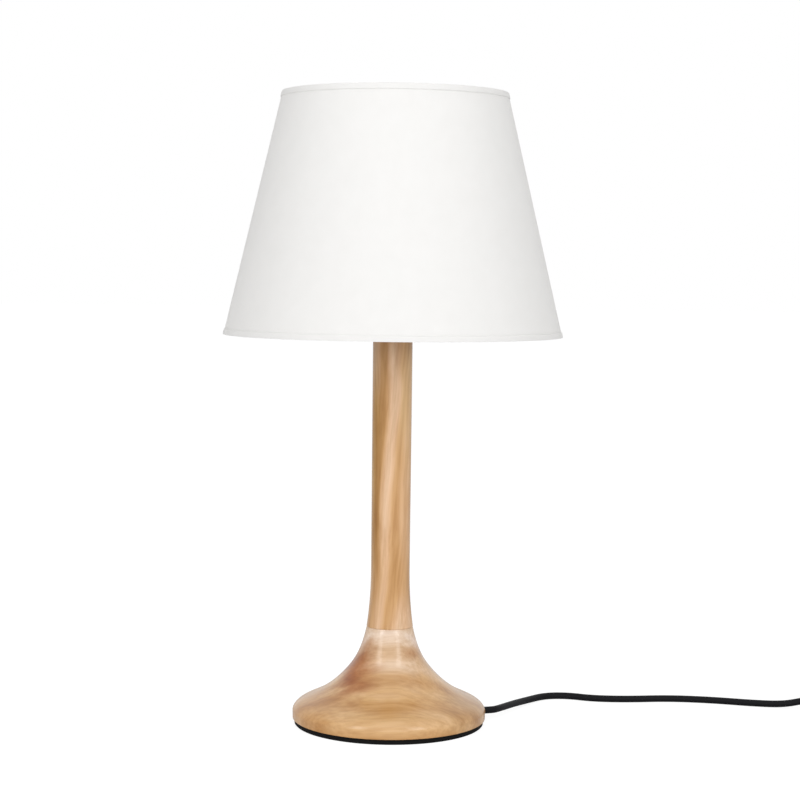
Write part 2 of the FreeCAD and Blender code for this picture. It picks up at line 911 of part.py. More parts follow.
def ring_room():
    return size("hem_thickness") + size("shade_wall") + 0.2


def ring_radius(height):
    """The middle of a shade ring's wire that lies inside the skin at this height."""
    lean = math.hypot(1, shade_slope().value)
    return shade_outside(height) - ring_room() - size("ring_wire_radius") * lean


def make_hem(name, edge, inward):
    """A folded edge tape, outside and round the end of the skin, as tall as the ring's wire."""
    tape = size("hem_thickness")
    tall = size("hem_height")
    far = edge + tall * inward
    shut = edge + tape * inward
    gap = 0.05
    deep = tape + size("shade_wall") + 0.2
    turned(name, (
        (shade_outside(edge) - deep, edge), (shade_outside(edge), edge),
        (shade_outside(far), far), (shade_outside(far) - tape, far),
        (shade_outside(shut) - tape, shut - gap * inward),
        (shade_outside(edge) - deep, shut - gap * inward)))


def ring_height(edge, inward):
    return edge + (size("hem_thickness") + size("ring_wire_radius") + 0.1) * inward


def make_torus(name, radius, wire, height):
    item = doc.addObject("Part::Torus", name)
    bind(item, Radius1=radius, Radius2=wire, Placement__Base__z=height)
    return item


def make_shade_frame():
    """The lower ring, three cranked arms and the round fitter plate, welded into one frame."""
    height = ring_height(size("shade_bottom"), 1)
    ring = make_torus("lower_ring", ring_radius(height), size("ring_wire_radius"), height)
    plate_low = flange_top()
    plate = cut("fitter_plate", rod("fitter_disc", size("fitter_radius"),
                                    size("fitter_thickness"), (0, 0, plate_low)),
                [rod("fitter_hole", size("fitter_hole_radius"), size("fitter_thickness"),
                     (0, 0, plate_low))])
    arms = []
    wire = size("arm_wire_radius").value
    start = size("fitter_radius").value - wire
    level = plate_low.value + size("fitter_thickness").value / 2
    end = ring_radius(height).value
    count = int(size("arm_count").value)
    flat_end = end * size("arm_flat_share").value
    drop_end = end * size("arm_drop_share").value
    for number in range(count):
        azimuth = math.radians(size("arm_azimuth").value + number * 360 / count)
        across = Vector(math.cos(azimuth), math.sin(azimuth), 0)
        points = [tuple(across * radius + UP * rise) for radius, rise in (
            (start, level), (flat_end, level), (drop_end, height.value + wire * 2.4),
            (end, height.value))]
        arm = doc.addObject("Part::Feature", "arm%d" % number)
        arm.Shape = pipe_along(route_edges("shade arm", points), wire)
        arms.append(arm)
    keep("shade_frame", fused("shade_frame", [ring, plate] + arms))


def make_shade():
    make_shade_skin()
    make_hem("bottom_hem", size("shade_bottom"), 1)
    make_hem("top_hem", size("shade_top"), -1)
    make_shade_frame()
    height = ring_height(size("shade_top"), -1)
    keep("upper_ring", make_torus("upper_ring", ring_radius(height), size("ring_wire_radius"),
                                  height))


# ---------------------------------------------------------------- cord inside the lamp


def exit_way():
    azimuth = math.radians(size("cord_exit_azimuth").value)
    return Vector(math.cos(azimuth), math.sin(azimuth), 0)


def exit_point():
    """Where the bush ends, level with the wooden rim, on the cord's centre line."""
    return exit_way() * size("base_radius").value + UP * size("cord_exit_height").value


def make_cord_bush():
    radius = size("cord_radius") + size("bush_wall")
    low = size("base_radius") - size("bush_length")
    bush = doc.addObject("PartDesign::Body", "cord_bush")
    sketch = bush.newObject("Sketcher::SketchObject", "bush_ring")
    attach(sketch, bush, "YZ_Plane", low)
    for number, wide in enumerate((radius, size("cord_radius") + size("cord_play"))):
        sketch.addGeometry(Part.Circle(Vector(0, size("cord_exit_height").value, 0), UP,
                                       wide.value), False)
        hold_point(sketch, number, 3, 0, size("cord_exit_height"))
        fit = Sketcher.Constraint("Radius", number, wide.value)
        sketch.setExpression("Constraints[%d]" % sketch.addConstraint(fit), wide.text)
    pad = bush.newObject("PartDesign::Pad", "bush_length")
    pad.Profile = sketch
    bind(pad, Length=size("bush_length"))
    turn_about_axis(bush, size("cord_exit_azimuth"))
    doc.recompute()
    keep("cord_bush", bush)


def first_bow():
    """The lead's first arc: it leaves along the bush and turns to the back of the table."""
    start = exit_point()
    end = Vector(*BOW_END)
    span = end - start
    way = exit_way()
    lean = way.getAngle(span)
    middle = (start + end) * 0.5
    side = (way * span.Length / 2 - span * (math.cos(lean) / 2)).normalize()
    crown = middle + side * (span.Length / 2 * math.tan(lean / 2))
    return Part.Arc(start, crown, end).toShape()


def make_inner_lead():
    """The lead from the rim to the middle of the base and up the tube into the lampholder."""
    height = size("cord_exit_height").value
    bend = size("lead_bend_radius").value
    start = exit_point()
    corner = UP * height
    top = tube_top().value + size("sheath_end").value
    points = [tuple(start), tuple(corner), (0, 0, top)]
    edges = route_edges("lead in the base", points, bends=bend)
    fixed_shape("inner_lead", pipe_along(edges, size("cord_radius").value))
    for name, side in (("live_core", 1), ("neutral_core", -1)):
        near = size("core_spread").value * side
        far = size("terminal_spread").value * side
        low = (carrier_low() - size("terminal_head_height")).value
        core = [(near, 0, top), (near, 0, top + 2.2), (far, 0, low - 2.2), (far, 0, low)]
        fixed_shape(name, pipe_along(route_edges(name, core), size("core_radius").value))


# ---------------------------------------------------------------- cord on the table


def make_lead_on_table():
    radius = size("cord_radius").value
    bow = first_bow()
    end_way = bow.tangentAt(bow.LastParameter)
    end = bow.valueAt(bow.LastParameter)
    entry = (switch_low_x().value, size("switch_centre_y").value, size("switch_parting").value)
    after = end + end_way * 6.0
    points = [tuple(end), tuple(after)] + list(LEAD_ROUTE) + [entry]
    edges = [bow] + route_edges("cord_lead", points)
    fixed_shape("cord_lead", pipe_along(edges, radius))


def layer_step():
    return 2 * size("cord_radius").value + size("coil_gap").value


def coil_place(angle):
    """A point on the coil: in along the lower layer, up a layer, and out along the upper one."""
    turns = size("coil_turns_per_layer").value
    whole = 2 * math.pi * turns
    pitch = layer_step() / (2 * math.pi)
    outer = size("coil_outer_radius").value
    inner = outer - pitch * whole
    low = size("cord_radius").value + size("tie_wall").value
    if angle <= whole:
        radius = outer - pitch * angle
        height = low
    elif angle < whole + math.pi:
        turned_on = angle - whole
        share = turned_on / math.pi
        radius = inner - pitch * turned_on * (1 - share)
        height = low + layer_step() * share * share * (3 - 2 * share)
    else:
        radius = inner + pitch * (angle - whole - math.pi)
        height = low + layer_step()
    x = size("coil_centre_x").value + radius * math.cos(-angle)
    y = size("coil_centre_y").value + radius * math.sin(-angle)
    return Vector(x, y, height)


def coil_way(angle, step=1e-4):
    last = coil_angle()
    ahead = coil_place(min(angle + step, last))
    behind = coil_place(max(angle - step, 0.0))
    return (ahead - behind).normalize()


def coil_angle():
    return 4 * math.pi * size("coil_turns_per_layer").value + math.pi


def least_gap(points, clear_span, diameter):
    least = 1e9
    for number, point in enumerate(points):
        for other in points[number + clear_span:]:
            least = min(least, (other - point).Length)
    return least - diameter


def coil_angles():
    """Where the coil's arcs begin: even steps along each layer and shorter ones in the climb."""
    whole = (coil_angle() - math.pi) / 2
    steps = math.ceil(whole / math.pi)
    layer = [whole * number / steps for number in range(steps)]
    climb = [whole, whole + math.pi / 2]
    return layer + climb + [whole + math.pi + angle for angle in layer] + [coil_angle()]


def make_coil():
    radius = size("cord_radius").value
    angles = coil_angles()
    start = coil_place(0.0)
    end = coil_place(coil_angle())
    lead_in = start - coil_way(0.0) * 2 * radius
    lead_out = end + coil_way(coil_angle()) * 2 * radius
    edges = [Part.LineSegment(lead_in, start).toShape()]
    for here, there in zip(angles[:-1], angles[1:]):
        edges += biarc(coil_place(here), coil_way(here), coil_place(there), coil_way(there))
    edges.append(Part.LineSegment(end, lead_out).toShape())
    fixed_shape("cord_coil", pipe_along(edges, radius))
    spots = []
    for arc in edges[1:-1]:
        spots += arc.discretize(Number=24)[:-1]
    a_turn = int(len(spots) * 2 * math.pi / coil_angle())
    print("least gap of the coil to itself: %.2f" % least_gap(spots, a_turn // 2, 2 * radius))
    return lead_in, lead_out


def make_link_and_tail(lead_in, lead_out):
    radius = size("cord_radius").value
    leave = (switch_low_x().value + size("switch_length").value, size("switch_centre_y").value,
             size("switch_parting").value)
    link = [leave] + list(LINK_ROUTE) + [tuple(lead_in)]
    fixed_shape("cord_link", pipe_along(route_edges("cord_link", link), radius))
    tail = [tuple(lead_out)] + list(TAIL_ROUTE) + [plug_entry()]
    fixed_shape("cord_tail", pipe_along(route_edges("cord_tail", tail), radius))


def make_cord_tie():
    """A soft band round the coil's back, which holds its turns together."""
    wall = size("tie_wall")
    play = size("tie_play")
    wide = size("tie_width")
    step = size("cord_radius") * 2 + size("coil_gap")
    outer = size("coil_outer_radius") - step * 0.25 + size("cord_radius") + play
    inner = (size("coil_outer_radius") - step * size("coil_turns_per_layer")
             - size("cord_radius") - play)
    inside_low = wall - 0.05
    inside_high = wall + size("cord_radius") * 2 + step + play
    x = size("coil_centre_x") - wide / 2
    y = size("coil_centre_y") + inner
    box = block("tie_block", (wide, outer - inner + wall * 2, inside_high + wall),
                (x, y - wall, 0))
    eye = block("tie_eye", (wide, outer - inner, inside_high - inside_low), (x, y, inside_low))
    keep("cord_tie", cut("cord_tie", box, [eye]))


# ---------------------------------------------------------------- switch on the cord


def switch_low_x():
    return size("switch_centre_x") - size("switch_length") / 2


def switch_low_y():
    return size("switch_centre_y") - size("switch_width") / 2


def pivot_height():
    return size("switch_height") - size("rocker_depth") * 0.5


def cord_channels(name):
    """The two round throats through which the cord enters and leaves the switch."""
    long = size("switch_throat")
    radius = size("cord_radius") + size("cord_play")
    at = size("switch_centre_y")
    high = size("switch_parting")
    first = rod_along_x(name + "_throat_in", radius, long, (switch_low_x(), at, high))
    last = rod_along_x(name + "_throat_out", radius, long,
                       (switch_low_x() + size("switch_length") - long, at, high))
    return [first, last]


def screw_spots():
    for side in (-1, 1):
        yield (size("switch_centre_x") + size("switch_screw_spread") * side,
               size("switch_centre_y") + size("switch_width") * 0.27 * side)


def shell_cavity(name, low, high):
    wall = size("switch_wall")
    throat = size("switch_throat")
    return block(name, (size("switch_length") - throat * 2, size("switch_width") - wall * 2,
                        high - low), (switch_low_x() + throat, switch_low_y() + wall, low))


def make_lower_shell():
    parting = size("switch_parting")
    box = block("lower_shell_block", (size("switch_length"), size("switch_width"), parting),
                (switch_low_x(), switch_low_y(), 0))
    shell = rounded("lower_shell_round", box, size("switch_corner"), size("switch_edge"),
                    length(0))
    hollow = shell_cavity("lower_shell_cavity", size("switch_wall"), parting)
    cups = cut("lower_shell_hollow", shell, [hollow] + cord_channels("lower"))
    bosses = []
    holes = []
    for number, (x, y) in enumerate(screw_spots()):
        bosses.append(rod("lower_boss%d" % number, size("boss_radius"),
                          parting - size("switch_wall") * 0.5,
                          (x, y, size("switch_wall") * 0.5)))
        holes.append(rod("lower_screw_hole%d" % number,
                         size("switch_screw_radius") + size("screw_play"), parting, (x, y, 0)))
        holes.append(rod("lower_head_hole%d" % number,
                         size("switch_screw_head_radius") + size("screw_play"),
                         size("switch_screw_head_height") + size("switch_screw_sink"), (x, y, 0)))
    solid = fused("lower_shell_bossed", [cups] + bosses)
    keep("switch_lower_shell", cut("switch_lower_shell", solid, holes))


def window_low():
    return (size("switch_centre_x") - size("rocker_reach") - size("rocker_end_play"),
            size("switch_centre_y") - size("rocker_width") / 2 - size("rocker_side_play"))


def make_upper_shell():
    parting = size("switch_parting")
    high = size("switch_height")
    wall = size("switch_wall")
    cheek = size("cheek_thickness")
    box = block("upper_shell_block", (size("switch_length"), size("switch_width"), high - parting),
                (switch_low_x(), switch_low_y(), parting))
    shell = rounded("upper_shell_round", box, size("switch_corner"), size("switch_edge"), high)
    hollow = shell_cavity("upper_shell_cavity", parting, high - wall)
    cups = cut("upper_shell_hollow", shell, [hollow] + cord_channels("upper"))
    x, y = window_low()
    long = (size("rocker_reach") + size("rocker_end_play")) * 2
    wide = size("rocker_width") + size("rocker_side_play") * 2
    deep = size("rocker_depth") * 0.5 + size("pin_radius") + 1.5
    cheeks = [block("cheek_front", (long * 0.4, cheek, deep),
                    (size("switch_centre_x") - long * 0.2, y - cheek, high - deep)),
              block("cheek_back", (long * 0.4, cheek, deep),
                    (size("switch_centre_x") - long * 0.2, y + wide, high - deep))]
    bosses = []
    holes = [block("rocker_window", (long, wide, high), (x, y, parting + 0.5))]
    for number, (boss_x, boss_y) in enumerate(screw_spots()):
        bosses.append(rod("upper_boss%d" % number, size("boss_radius"), high - parting - wall * 0.5,
                          (boss_x, boss_y, parting)))
        holes.append(rod("upper_screw_hole%d" % number,
                         size("switch_screw_radius") + size("screw_play"),
                         size("switch_screw_length") - parting + 0.5, (boss_x, boss_y, parting)))
    pin_length = wide + cheek * 2
    holes.append(rod_along_y("pin_hole", size("pin_radius"), pin_length - 1,
                             (size("switch_centre_x"), y - cheek + 0.5, pivot_height())))
    solid = fused("upper_shell_bossed", [cups] + cheeks + bosses)
    keep("switch_upper_shell", cut("switch_upper_shell", solid, holes))


def make_rocker():
    """The rocker's side view, drawn from its left end, and its width across the switch."""
    reach = size("rocker_reach")
    low = size("switch_height") - size("rocker_depth")
    top = size("switch_height") + size("rocker_rise")
    body = doc.addObject("PartDesign::Body", "switch_rocker")
    sketch = body.newObject("Sketcher::SketchObject", "rocker_side")
    attach(sketch, body, "XZ_Plane")
    draw_outline(sketch, (
        (1.6, low), (reach * 2 - 1.6, low), (reach * 2, low + 3.0), (reach * 2 - 0.6, top - 0.6),
        (reach * 2 - 1.2, top), (reach, top - size("rocker_dish")), (1.2, top), (0.6, top - 0.6),
        (0, low + 3.0)))
    pad = body.newObject("PartDesign::Pad", "rocker_across")
    pad.Profile = sketch
    bind(pad, Length=size("rocker_width"))
    doc.recompute()
    round_cut(body, "rocker_bore", "XZ_Plane", (reach, pivot_height()),
              size("pin_radius") + size("pin_play"), None, size("rocker_width") + 1)
    bind(body, Placement__Base__x=size("switch_centre_x") - reach,
         Placement__Base__y=size("switch_centre_y") + size("rocker_width") / 2)
    doc.recompute()
    keep("switch_rocker", body)


def make_switch():
    make_lower_shell()
    make_upper_shell()
    make_rocker()
    x, y = window_low()
    long = size("rocker_width") + (size("rocker_side_play") + size("cheek_thickness")) * 2 - 1.2
    keep("rocker_pin", rod_along_y("rocker_pin", size("pin_radius"), long,
                                   (size("switch_centre_x"), y - size("cheek_thickness") + 0.6,
                                    pivot_height())))
    screws = []
    for number, (screw_x, screw_y) in enumerate(screw_spots()):
        low = size("switch_screw_sink")
        head = rod("switch_screw_head%d" % number, size("switch_screw_head_radius"),
                   size("switch_screw_head_height"), (screw_x, screw_y, low))
        shank = rod("switch_screw_shank%d" % number, size("switch_screw_radius"),
                    size("switch_screw_length") - low * 2, (screw_x, screw_y, low))
        screws.append(fused("switch_screw%d" % number, [head, shank]))
    keep("switch_screws", group("switch_screws", screws))


# ---------------------------------------------------------------- plug


def plug_entry():
    return (size("plug_entry_x").value, size("plug_entry_y").value,
            size("plug_height").value / 2)


def make_plug():
    """A flat two-pin plug that lies on the table, its pins pointing along -Y."""
    middle = size("plug_height") / 2
    relief = size("plug_relief_length")
    x = size("plug_entry_x")
    rear = size("plug_entry_y") - relief
    front = rear - size("plug_length")
    tip = size("plug_pin_tip")
    box = block("plug_block", (size("plug_width"), size("plug_length"), size("plug_height")),
                (x - size("plug_width") / 2, front, 0))
    doc.recompute()
    marks = []
    corner = size("plug_corner").value
    edge = size("plug_edge").value
    for number, line in enumerate(box.Shape.Edges, start=1):
        bounds = line.BoundBox
        if bounds.ZLength > 1e-6:
            marks.append((number, corner, corner))
        elif bounds.XLength < 1e-6:
            marks.append((number, edge, edge))
    grip = doc.addObject("Part::Fillet", "plug_grip")
    grip.Base = box
    grip.Edges = marks
    doc.recompute()
    cone = doc.addObject("Part::Cone", "plug_relief")
    bind(cone, Radius1=size("plug_relief_radius") + 0.8, Radius2=size("cord_radius") + 0.5,
         Height=relief + 1, Placement__Base__x=x, Placement__Base__y=rear - 1,
         Placement__Base__z=middle)
    cone.Placement.Rotation = FreeCAD.Rotation(Vector(1, 0, 0), -90)
    solid = fused("plug_solid", [grip, cone])
    pins = []
    holes = []
    for side in (-1, 1):
        across = x + size("plug_pin_spacing") / 2 * side
        far = front - size("plug_pin_length")
        neck = size("plug_pin_neck_radius")
        root = size("plug_pin_root")
        metal = rod_along_y("plug_pin_tip", size("plug_pin_radius"), tip, (across, far, middle))
        stem = rod_along_y("plug_pin_stem", neck, size("plug_pin_length") - tip + root,
                           (across, far + tip, middle))
        pins.append(fused("plug_pin", [metal, stem]))
        holes.append(rod_along_y("plug_pin_hole", neck, root, (across, front, middle)))
    keep("plug_body", cut("plug_body", solid, holes))
    keep("plug_pins", group("plug_pins", pins))


# ---------------------------------------------------------------- the whole lamp


def make_lamp():
    make_base_pad()
    make_wooden_base()
    make_base_weight()
    make_weight_screws()
    make_wooden_column()
    make_tube()
    make_collar()
    make_holder_cap()
    make_holder_body()
    make_contact_carrier()
    make_terminal_screws()
    make_screw_shell()
    make_centre_contact()
    make_shade_ring()
    make_bulb()
    make_shade()
    make_cord_bush()
    make_inner_lead()
    make_lead_on_table()
    lead_in, lead_out = make_coil()
    make_link_and_tail(lead_in, lead_out)
    make_cord_tie()
    make_switch()
    make_plug()


def write_pieces():
    doc.recompute()
    for item in doc.Objects:
        if "Invalid" in item.State or "Error" in item.State:
            raise RuntimeError("%s could not be made" % item.Label)
    for name, item in pieces.items():
        if item.Shape.isNull() or not item.Shape.isValid():
            raise RuntimeError("%s is not a sound solid" % name)
    os.makedirs("parts", exist_ok=True)
    for name, item in pieces.items():
        item.Shape.exportStep("parts/%s.step" % name)
        print("%-20s solids %d volume %.0f" % (name, len(item.Shape.Solids), item.Shape.Volume))


make_lamp()
write_pieces()
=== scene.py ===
import math

import bmesh
import bpy
from mathutils import Matrix, Vector


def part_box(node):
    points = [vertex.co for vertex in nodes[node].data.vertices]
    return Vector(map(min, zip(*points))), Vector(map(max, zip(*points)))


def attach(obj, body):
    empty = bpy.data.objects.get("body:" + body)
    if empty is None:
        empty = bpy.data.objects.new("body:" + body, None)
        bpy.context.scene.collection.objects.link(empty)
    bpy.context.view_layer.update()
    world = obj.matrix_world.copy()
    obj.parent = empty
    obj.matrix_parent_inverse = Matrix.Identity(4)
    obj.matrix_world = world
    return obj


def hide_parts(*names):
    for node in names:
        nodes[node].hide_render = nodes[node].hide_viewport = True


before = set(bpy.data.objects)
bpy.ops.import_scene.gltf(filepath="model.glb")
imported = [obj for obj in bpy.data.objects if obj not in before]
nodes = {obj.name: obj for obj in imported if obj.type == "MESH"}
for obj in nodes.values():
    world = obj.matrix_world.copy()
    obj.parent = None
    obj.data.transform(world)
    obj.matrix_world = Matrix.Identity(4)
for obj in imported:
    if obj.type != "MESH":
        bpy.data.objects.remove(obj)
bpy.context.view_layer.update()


# ---------------------------------------------------------------- table top and studio
# The lamp stands on a plain white table that runs back into a white studio. It isn't part
# of the lamp. For the camera the white is lifted a little, so that only a soft shadow stays.

def shader(name):
    """A new material with its tree, its Principled shader and a maker of further nodes."""
    material = bpy.data.materials.new(name)
    material.use_nodes = True
    tree = material.node_tree
    principled = tree.nodes["Principled BSDF"]

    def add(kind, **values):
        node = tree.nodes.new(kind)
        for key, value in values.items():
            if key in node.inputs:
                node.inputs[key].default_value = value
            else:
                setattr(node, key, value)
        return node

    return material, tree.links, principled, add


def mesh_piece(name, verts, faces, material):
    """A new mesh piece at the origin, with its place in its mesh."""
    mesh = bpy.data.meshes.new(name)
    mesh.from_pydata(verts, [], faces)
    mesh.validate()
    piece = bpy.data.objects.new(name, mesh)
    bpy.context.scene.collection.objects.link(piece)
    mesh.materials.append(material)
    for polygon in mesh.polygons:
        polygon.use_smooth = True
    return piece


TABLE_REACH = 14.0
TABLE_GLOW = 0.86
TABLE_LIT_SHARE = 0.30
table_white, links, surface, add = shader("table_white")
surface.inputs["Base Color"].default_value = (0.93, 0.93, 0.935, 1.0)
surface.inputs["Roughness"].default_value = 0.95
surface.inputs["Specular IOR Level"].default_value = 0.0
ray = add("ShaderNodeLightPath")
glow = add("ShaderNodeEmission", Strength=TABLE_GLOW)
both = add("ShaderNodeAddShader")
seen = add("ShaderNodeMixShader")
part_lit = add("ShaderNodeMixShader", Fac=TABLE_LIT_SHARE)
dark = add("ShaderNodeBsdfTransparent", Color=(0.0, 0.0, 0.0, 1.0))
links.new(dark.outputs[0], part_lit.inputs[1])
links.new(surface.outputs[0], part_lit.inputs[2])
links.new(part_lit.outputs[0], both.inputs[0])
links.new(glow.outputs[0], both.inputs[1])
links.new(ray.outputs["Is Camera Ray"], seen.inputs["Fac"])
links.new(surface.outputs[0], seen.inputs[1])
links.new(both.outputs[0], seen.inputs[2])
table_end = table_white.node_tree.nodes["Material Output"]
links.new(seen.outputs[0], table_end.inputs["Surface"])
table = mesh_piece("table_top", [(x * TABLE_REACH, y * TABLE_REACH, 0.0) for x, y in
                                 ((-1, -1), (1, -1), (1, 1), (-1, 1))],
                   [(0, 1, 2, 3)], table_white)

ROOM_LIGHT = 0.56
world = bpy.data.worlds.new("studio")
bpy.context.scene.world = world
world.use_nodes = True
sky = world.node_tree
room = sky.nodes["Background"]
room.inputs["Color"].default_value = (1.0, 1.0, 1.0, 1.0)
room.inputs["Strength"].default_value = ROOM_LIGHT
backdrop = sky.nodes.new("ShaderNodeBackground")
backdrop.inputs["Color"].default_value = (1.0, 1.0, 1.0, 1.0)
backdrop.inputs["Strength"].default_value = 1.0
sky_ray = sky.nodes.new("ShaderNodeLightPath")
mirror_or_camera = sky.nodes.new("ShaderNodeMath")
mirror_or_camera.operation = "MAXIMUM"
through_too = sky.nodes.new("ShaderNodeMath")
through_too.operation = "MAXIMUM"
sky_mix = sky.nodes.new("ShaderNodeMixShader")
sky.links.new(sky_ray.outputs["Is Camera Ray"], mirror_or_camera.inputs[0])
sky.links.new(sky_ray.outputs["Is Glossy Ray"], mirror_or_camera.inputs[1])
sky.links.new(mirror_or_camera.outputs[0], through_too.inputs[0])
sky.links.new(sky_ray.outputs["Is Transmission Ray"], through_too.inputs[1])
sky.links.new(through_too.outputs[0], sky_mix.inputs["Fac"])
sky.links.new(room.outputs[0], sky_mix.inputs[1])
sky.links.new(backdrop.outputs[0], sky_mix.inputs[2])
sky.links.new(sky_mix.outputs[0], sky.nodes["World Output"].inputs["Surface"])


# ---------------------------------------------------------------- studio lamps
# Two tall soft boxes stand in front, to the left and to the right, as the two upright gleams
# on the base's neck show. A wide low one by the camera casts the shade's short shadow on the
# column, and a weaker one hangs overhead.

LAMP_AIM = Vector((0.0, 0.0, 0.20))


def soft_box(name, azimuth, elevation, distance, wide, tall, watts):
    """AZIMUTH is counted from the camera's side, to the right."""
    lamp = bpy.data.lights.new(name, "AREA")
    lamp.shape = "RECTANGLE"
    lamp.size = wide
    lamp.size_y = tall
    lamp.energy = watts
    stand = bpy.data.objects.new(name, lamp)
    bpy.context.scene.collection.objects.link(stand)
    across = math.radians(azimuth)
    rise = math.radians(elevation)
    way = Vector((math.sin(across) * math.cos(rise), -math.cos(across) * math.cos(rise),
                  math.sin(rise)))
    stand.location = LAMP_AIM + way * distance
    stand.rotation_euler = (-way).to_track_quat("-Z", "Y").to_euler()


# name, azimuth, elevation, distance, width, height, watts
soft_box("soft_box_left", -40.0, 30.0, 2.0, 0.55, 1.2, 8.0)
soft_box("soft_box_right", 38.0, 30.0, 2.0, 0.50, 1.2, 8.0)
soft_box("soft_box_low", 5.0, 8.0, 2.6, 1.8, 0.4, 12.0)
soft_box("soft_box_top", 0.0, 78.0, 2.2, 1.6, 1.6, 3.0)


# ---------------------------------------------------------------- camera
# The camera stands a little above the lamp's middle, 1.55 m in front of its axis, and looks
# 4 degrees down. It is rolled by two thirds of a degree, as the lamp's lean in the picture shows.

CAMERA_PLACE = (0.0062, -1.547, 0.368)
CAMERA_PITCH = 4.04
CAMERA_ROLL = 0.64
FOCAL_PX = 1958.0
PICTURE_PX = 800.0
camera_data = bpy.data.cameras.new("camera")
camera = bpy.data.objects.new("camera", camera_data)
bpy.context.scene.collection.objects.link(camera)
camera_data.sensor_width = 36.0
camera_data.lens = camera_data.sensor_width * FOCAL_PX / PICTURE_PX
camera_data.clip_end = 60.0
tilt = Matrix.Rotation(math.radians(90.0 - CAMERA_PITCH), 4, "X")
roll = Matrix.Rotation(math.radians(CAMERA_ROLL), 4, "Z")
camera.matrix_world = Matrix.Translation(CAMERA_PLACE) @ tilt @ roll
bpy.context.scene.camera = camera
bpy.context.scene.view_settings.view_transform = "Standard"


# ---------------------------------------------------------------- foot pad
# A disc of black foam rubber glued under the wooden base, so that the lamp neither slips nor
# scratches the table. Only its edge shows, as a thin black line under the wood.


def paint(material, *node_names):
    """Give CAD nodes their finish."""
    for node_name in node_names:
        piece = nodes[node_name]
        piece.data.materials.clear()
        piece.data.materials.append(material)


def mottled(name, tones, rough, grain, bump=None):
    """A mottle between two TONES: noise of GRAIN (scale, detail), BUMP as (strength, depth)."""
    material, links, surface, add = shader(name)
    place = add("ShaderNodeTexCoord")
    noise = add("ShaderNodeTexNoise", Scale=grain[0], Detail=grain[1])
    links.new(place.outputs["Object"], noise.inputs["Vector"])
    blend = add("ShaderNodeValToRGB")
    for stop, tone in zip(blend.color_ramp.elements, tones):
        stop.color = (*tone, 1.0)
    links.new(noise.outputs["Fac"], blend.inputs["Fac"])
    links.new(blend.outputs["Color"], surface.inputs["Base Color"])
    if bump:
        relief = add("ShaderNodeBump", Strength=bump[0], Distance=bump[1])
        links.new(noise.outputs["Fac"], relief.inputs["Height"])
        links.new(relief.outputs["Normal"], surface.inputs["Normal"])
    surface.inputs["Roughness"].default_value = rough
    return material, surface


foam, surface = mottled("black_foam", ((0.003, 0.003, 0.003), (0.010, 0.010, 0.010)), 0.85,
                        grain=(1400.0, 3.0), bump=(0.25, 0.0002))
surface.inputs["Specular IOR Level"].default_value = 0.12
paint(foam, "base_pad")


# ---------------------------------------------------------------- wooden base
# A trumpet-shaped foot turned from a blank of pale hardwood whose grain lies flat, from left to
# right, so the year rings show as wide curved bands. It has a satin lacquer over a warm stain.

# sizes are in metres, and MM turns millimetres into them
MM = 0.001
PAD_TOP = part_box("wooden_base")[0].z
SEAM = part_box("wooden_base")[1].z
BASE_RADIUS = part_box("wooden_base")[1].x
NECK_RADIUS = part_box("wooden_column")[1].x
TURNING_STEPS = 224
WELD = 1e-7
BEVEL = 0.5 * MM


def curve_points(poles, count):
    """Points along the clamped cubic B-spline of the given poles, as a turner's template."""
    degree = 3
    last = len(poles) - degree
    knots = [0] * degree + list(range(last + 1)) + [last] * degree
    points = []
    for step in range(count + 1):
        at = last * step / count
        span = min(int(at), last - 1) + degree
        work = [Vector(poles[j]) for j in range(span - degree, span + 1)]
        for level in range(1, degree + 1):
            for j in range(degree, level - 1, -1):
                low = knots[j + span - degree]
                high = knots[j + 1 + span - level]
                share = (at - low) / (high - low)
                work[j] = work[j - 1] * (1 - share) + work[j] * share
        points.append((work[degree].x, work[degree].y))
    return points


def turned_piece(name, outline, material, crease=40.0):
    """A closed outline of (radius, height) turned about the lamp's axis."""
    verts = []
    for radius, height in outline:
        for step in range(TURNING_STEPS):
            turn = 2 * math.pi * step / TURNING_STEPS
            verts.append((radius * math.cos(turn), radius * math.sin(turn), height))
    faces = []
    for row in range(len(outline)):
        here = row * TURNING_STEPS
        there = (row + 1) % len(outline) * TURNING_STEPS
        for step in range(TURNING_STEPS):
            after = (step + 1) % TURNING_STEPS
            faces.append((here + step, here + after, there + after, there + step))
    piece = mesh_piece(name, verts, faces, material)
    welded = bmesh.new()
    welded.from_mesh(piece.data)
    bmesh.ops.remove_doubles(welded, verts=welded.verts, dist=WELD)
    bmesh.ops.recalc_face_normals(welded, faces=welded.faces)
    sharp = math.radians(crease)
    for edge in welded.edges:
        edge.smooth = not (len(edge.link_faces) == 2 and edge.calc_face_angle(0.0) > sharp)
    welded.to_mesh(piece.data)
    welded.free()
    return piece


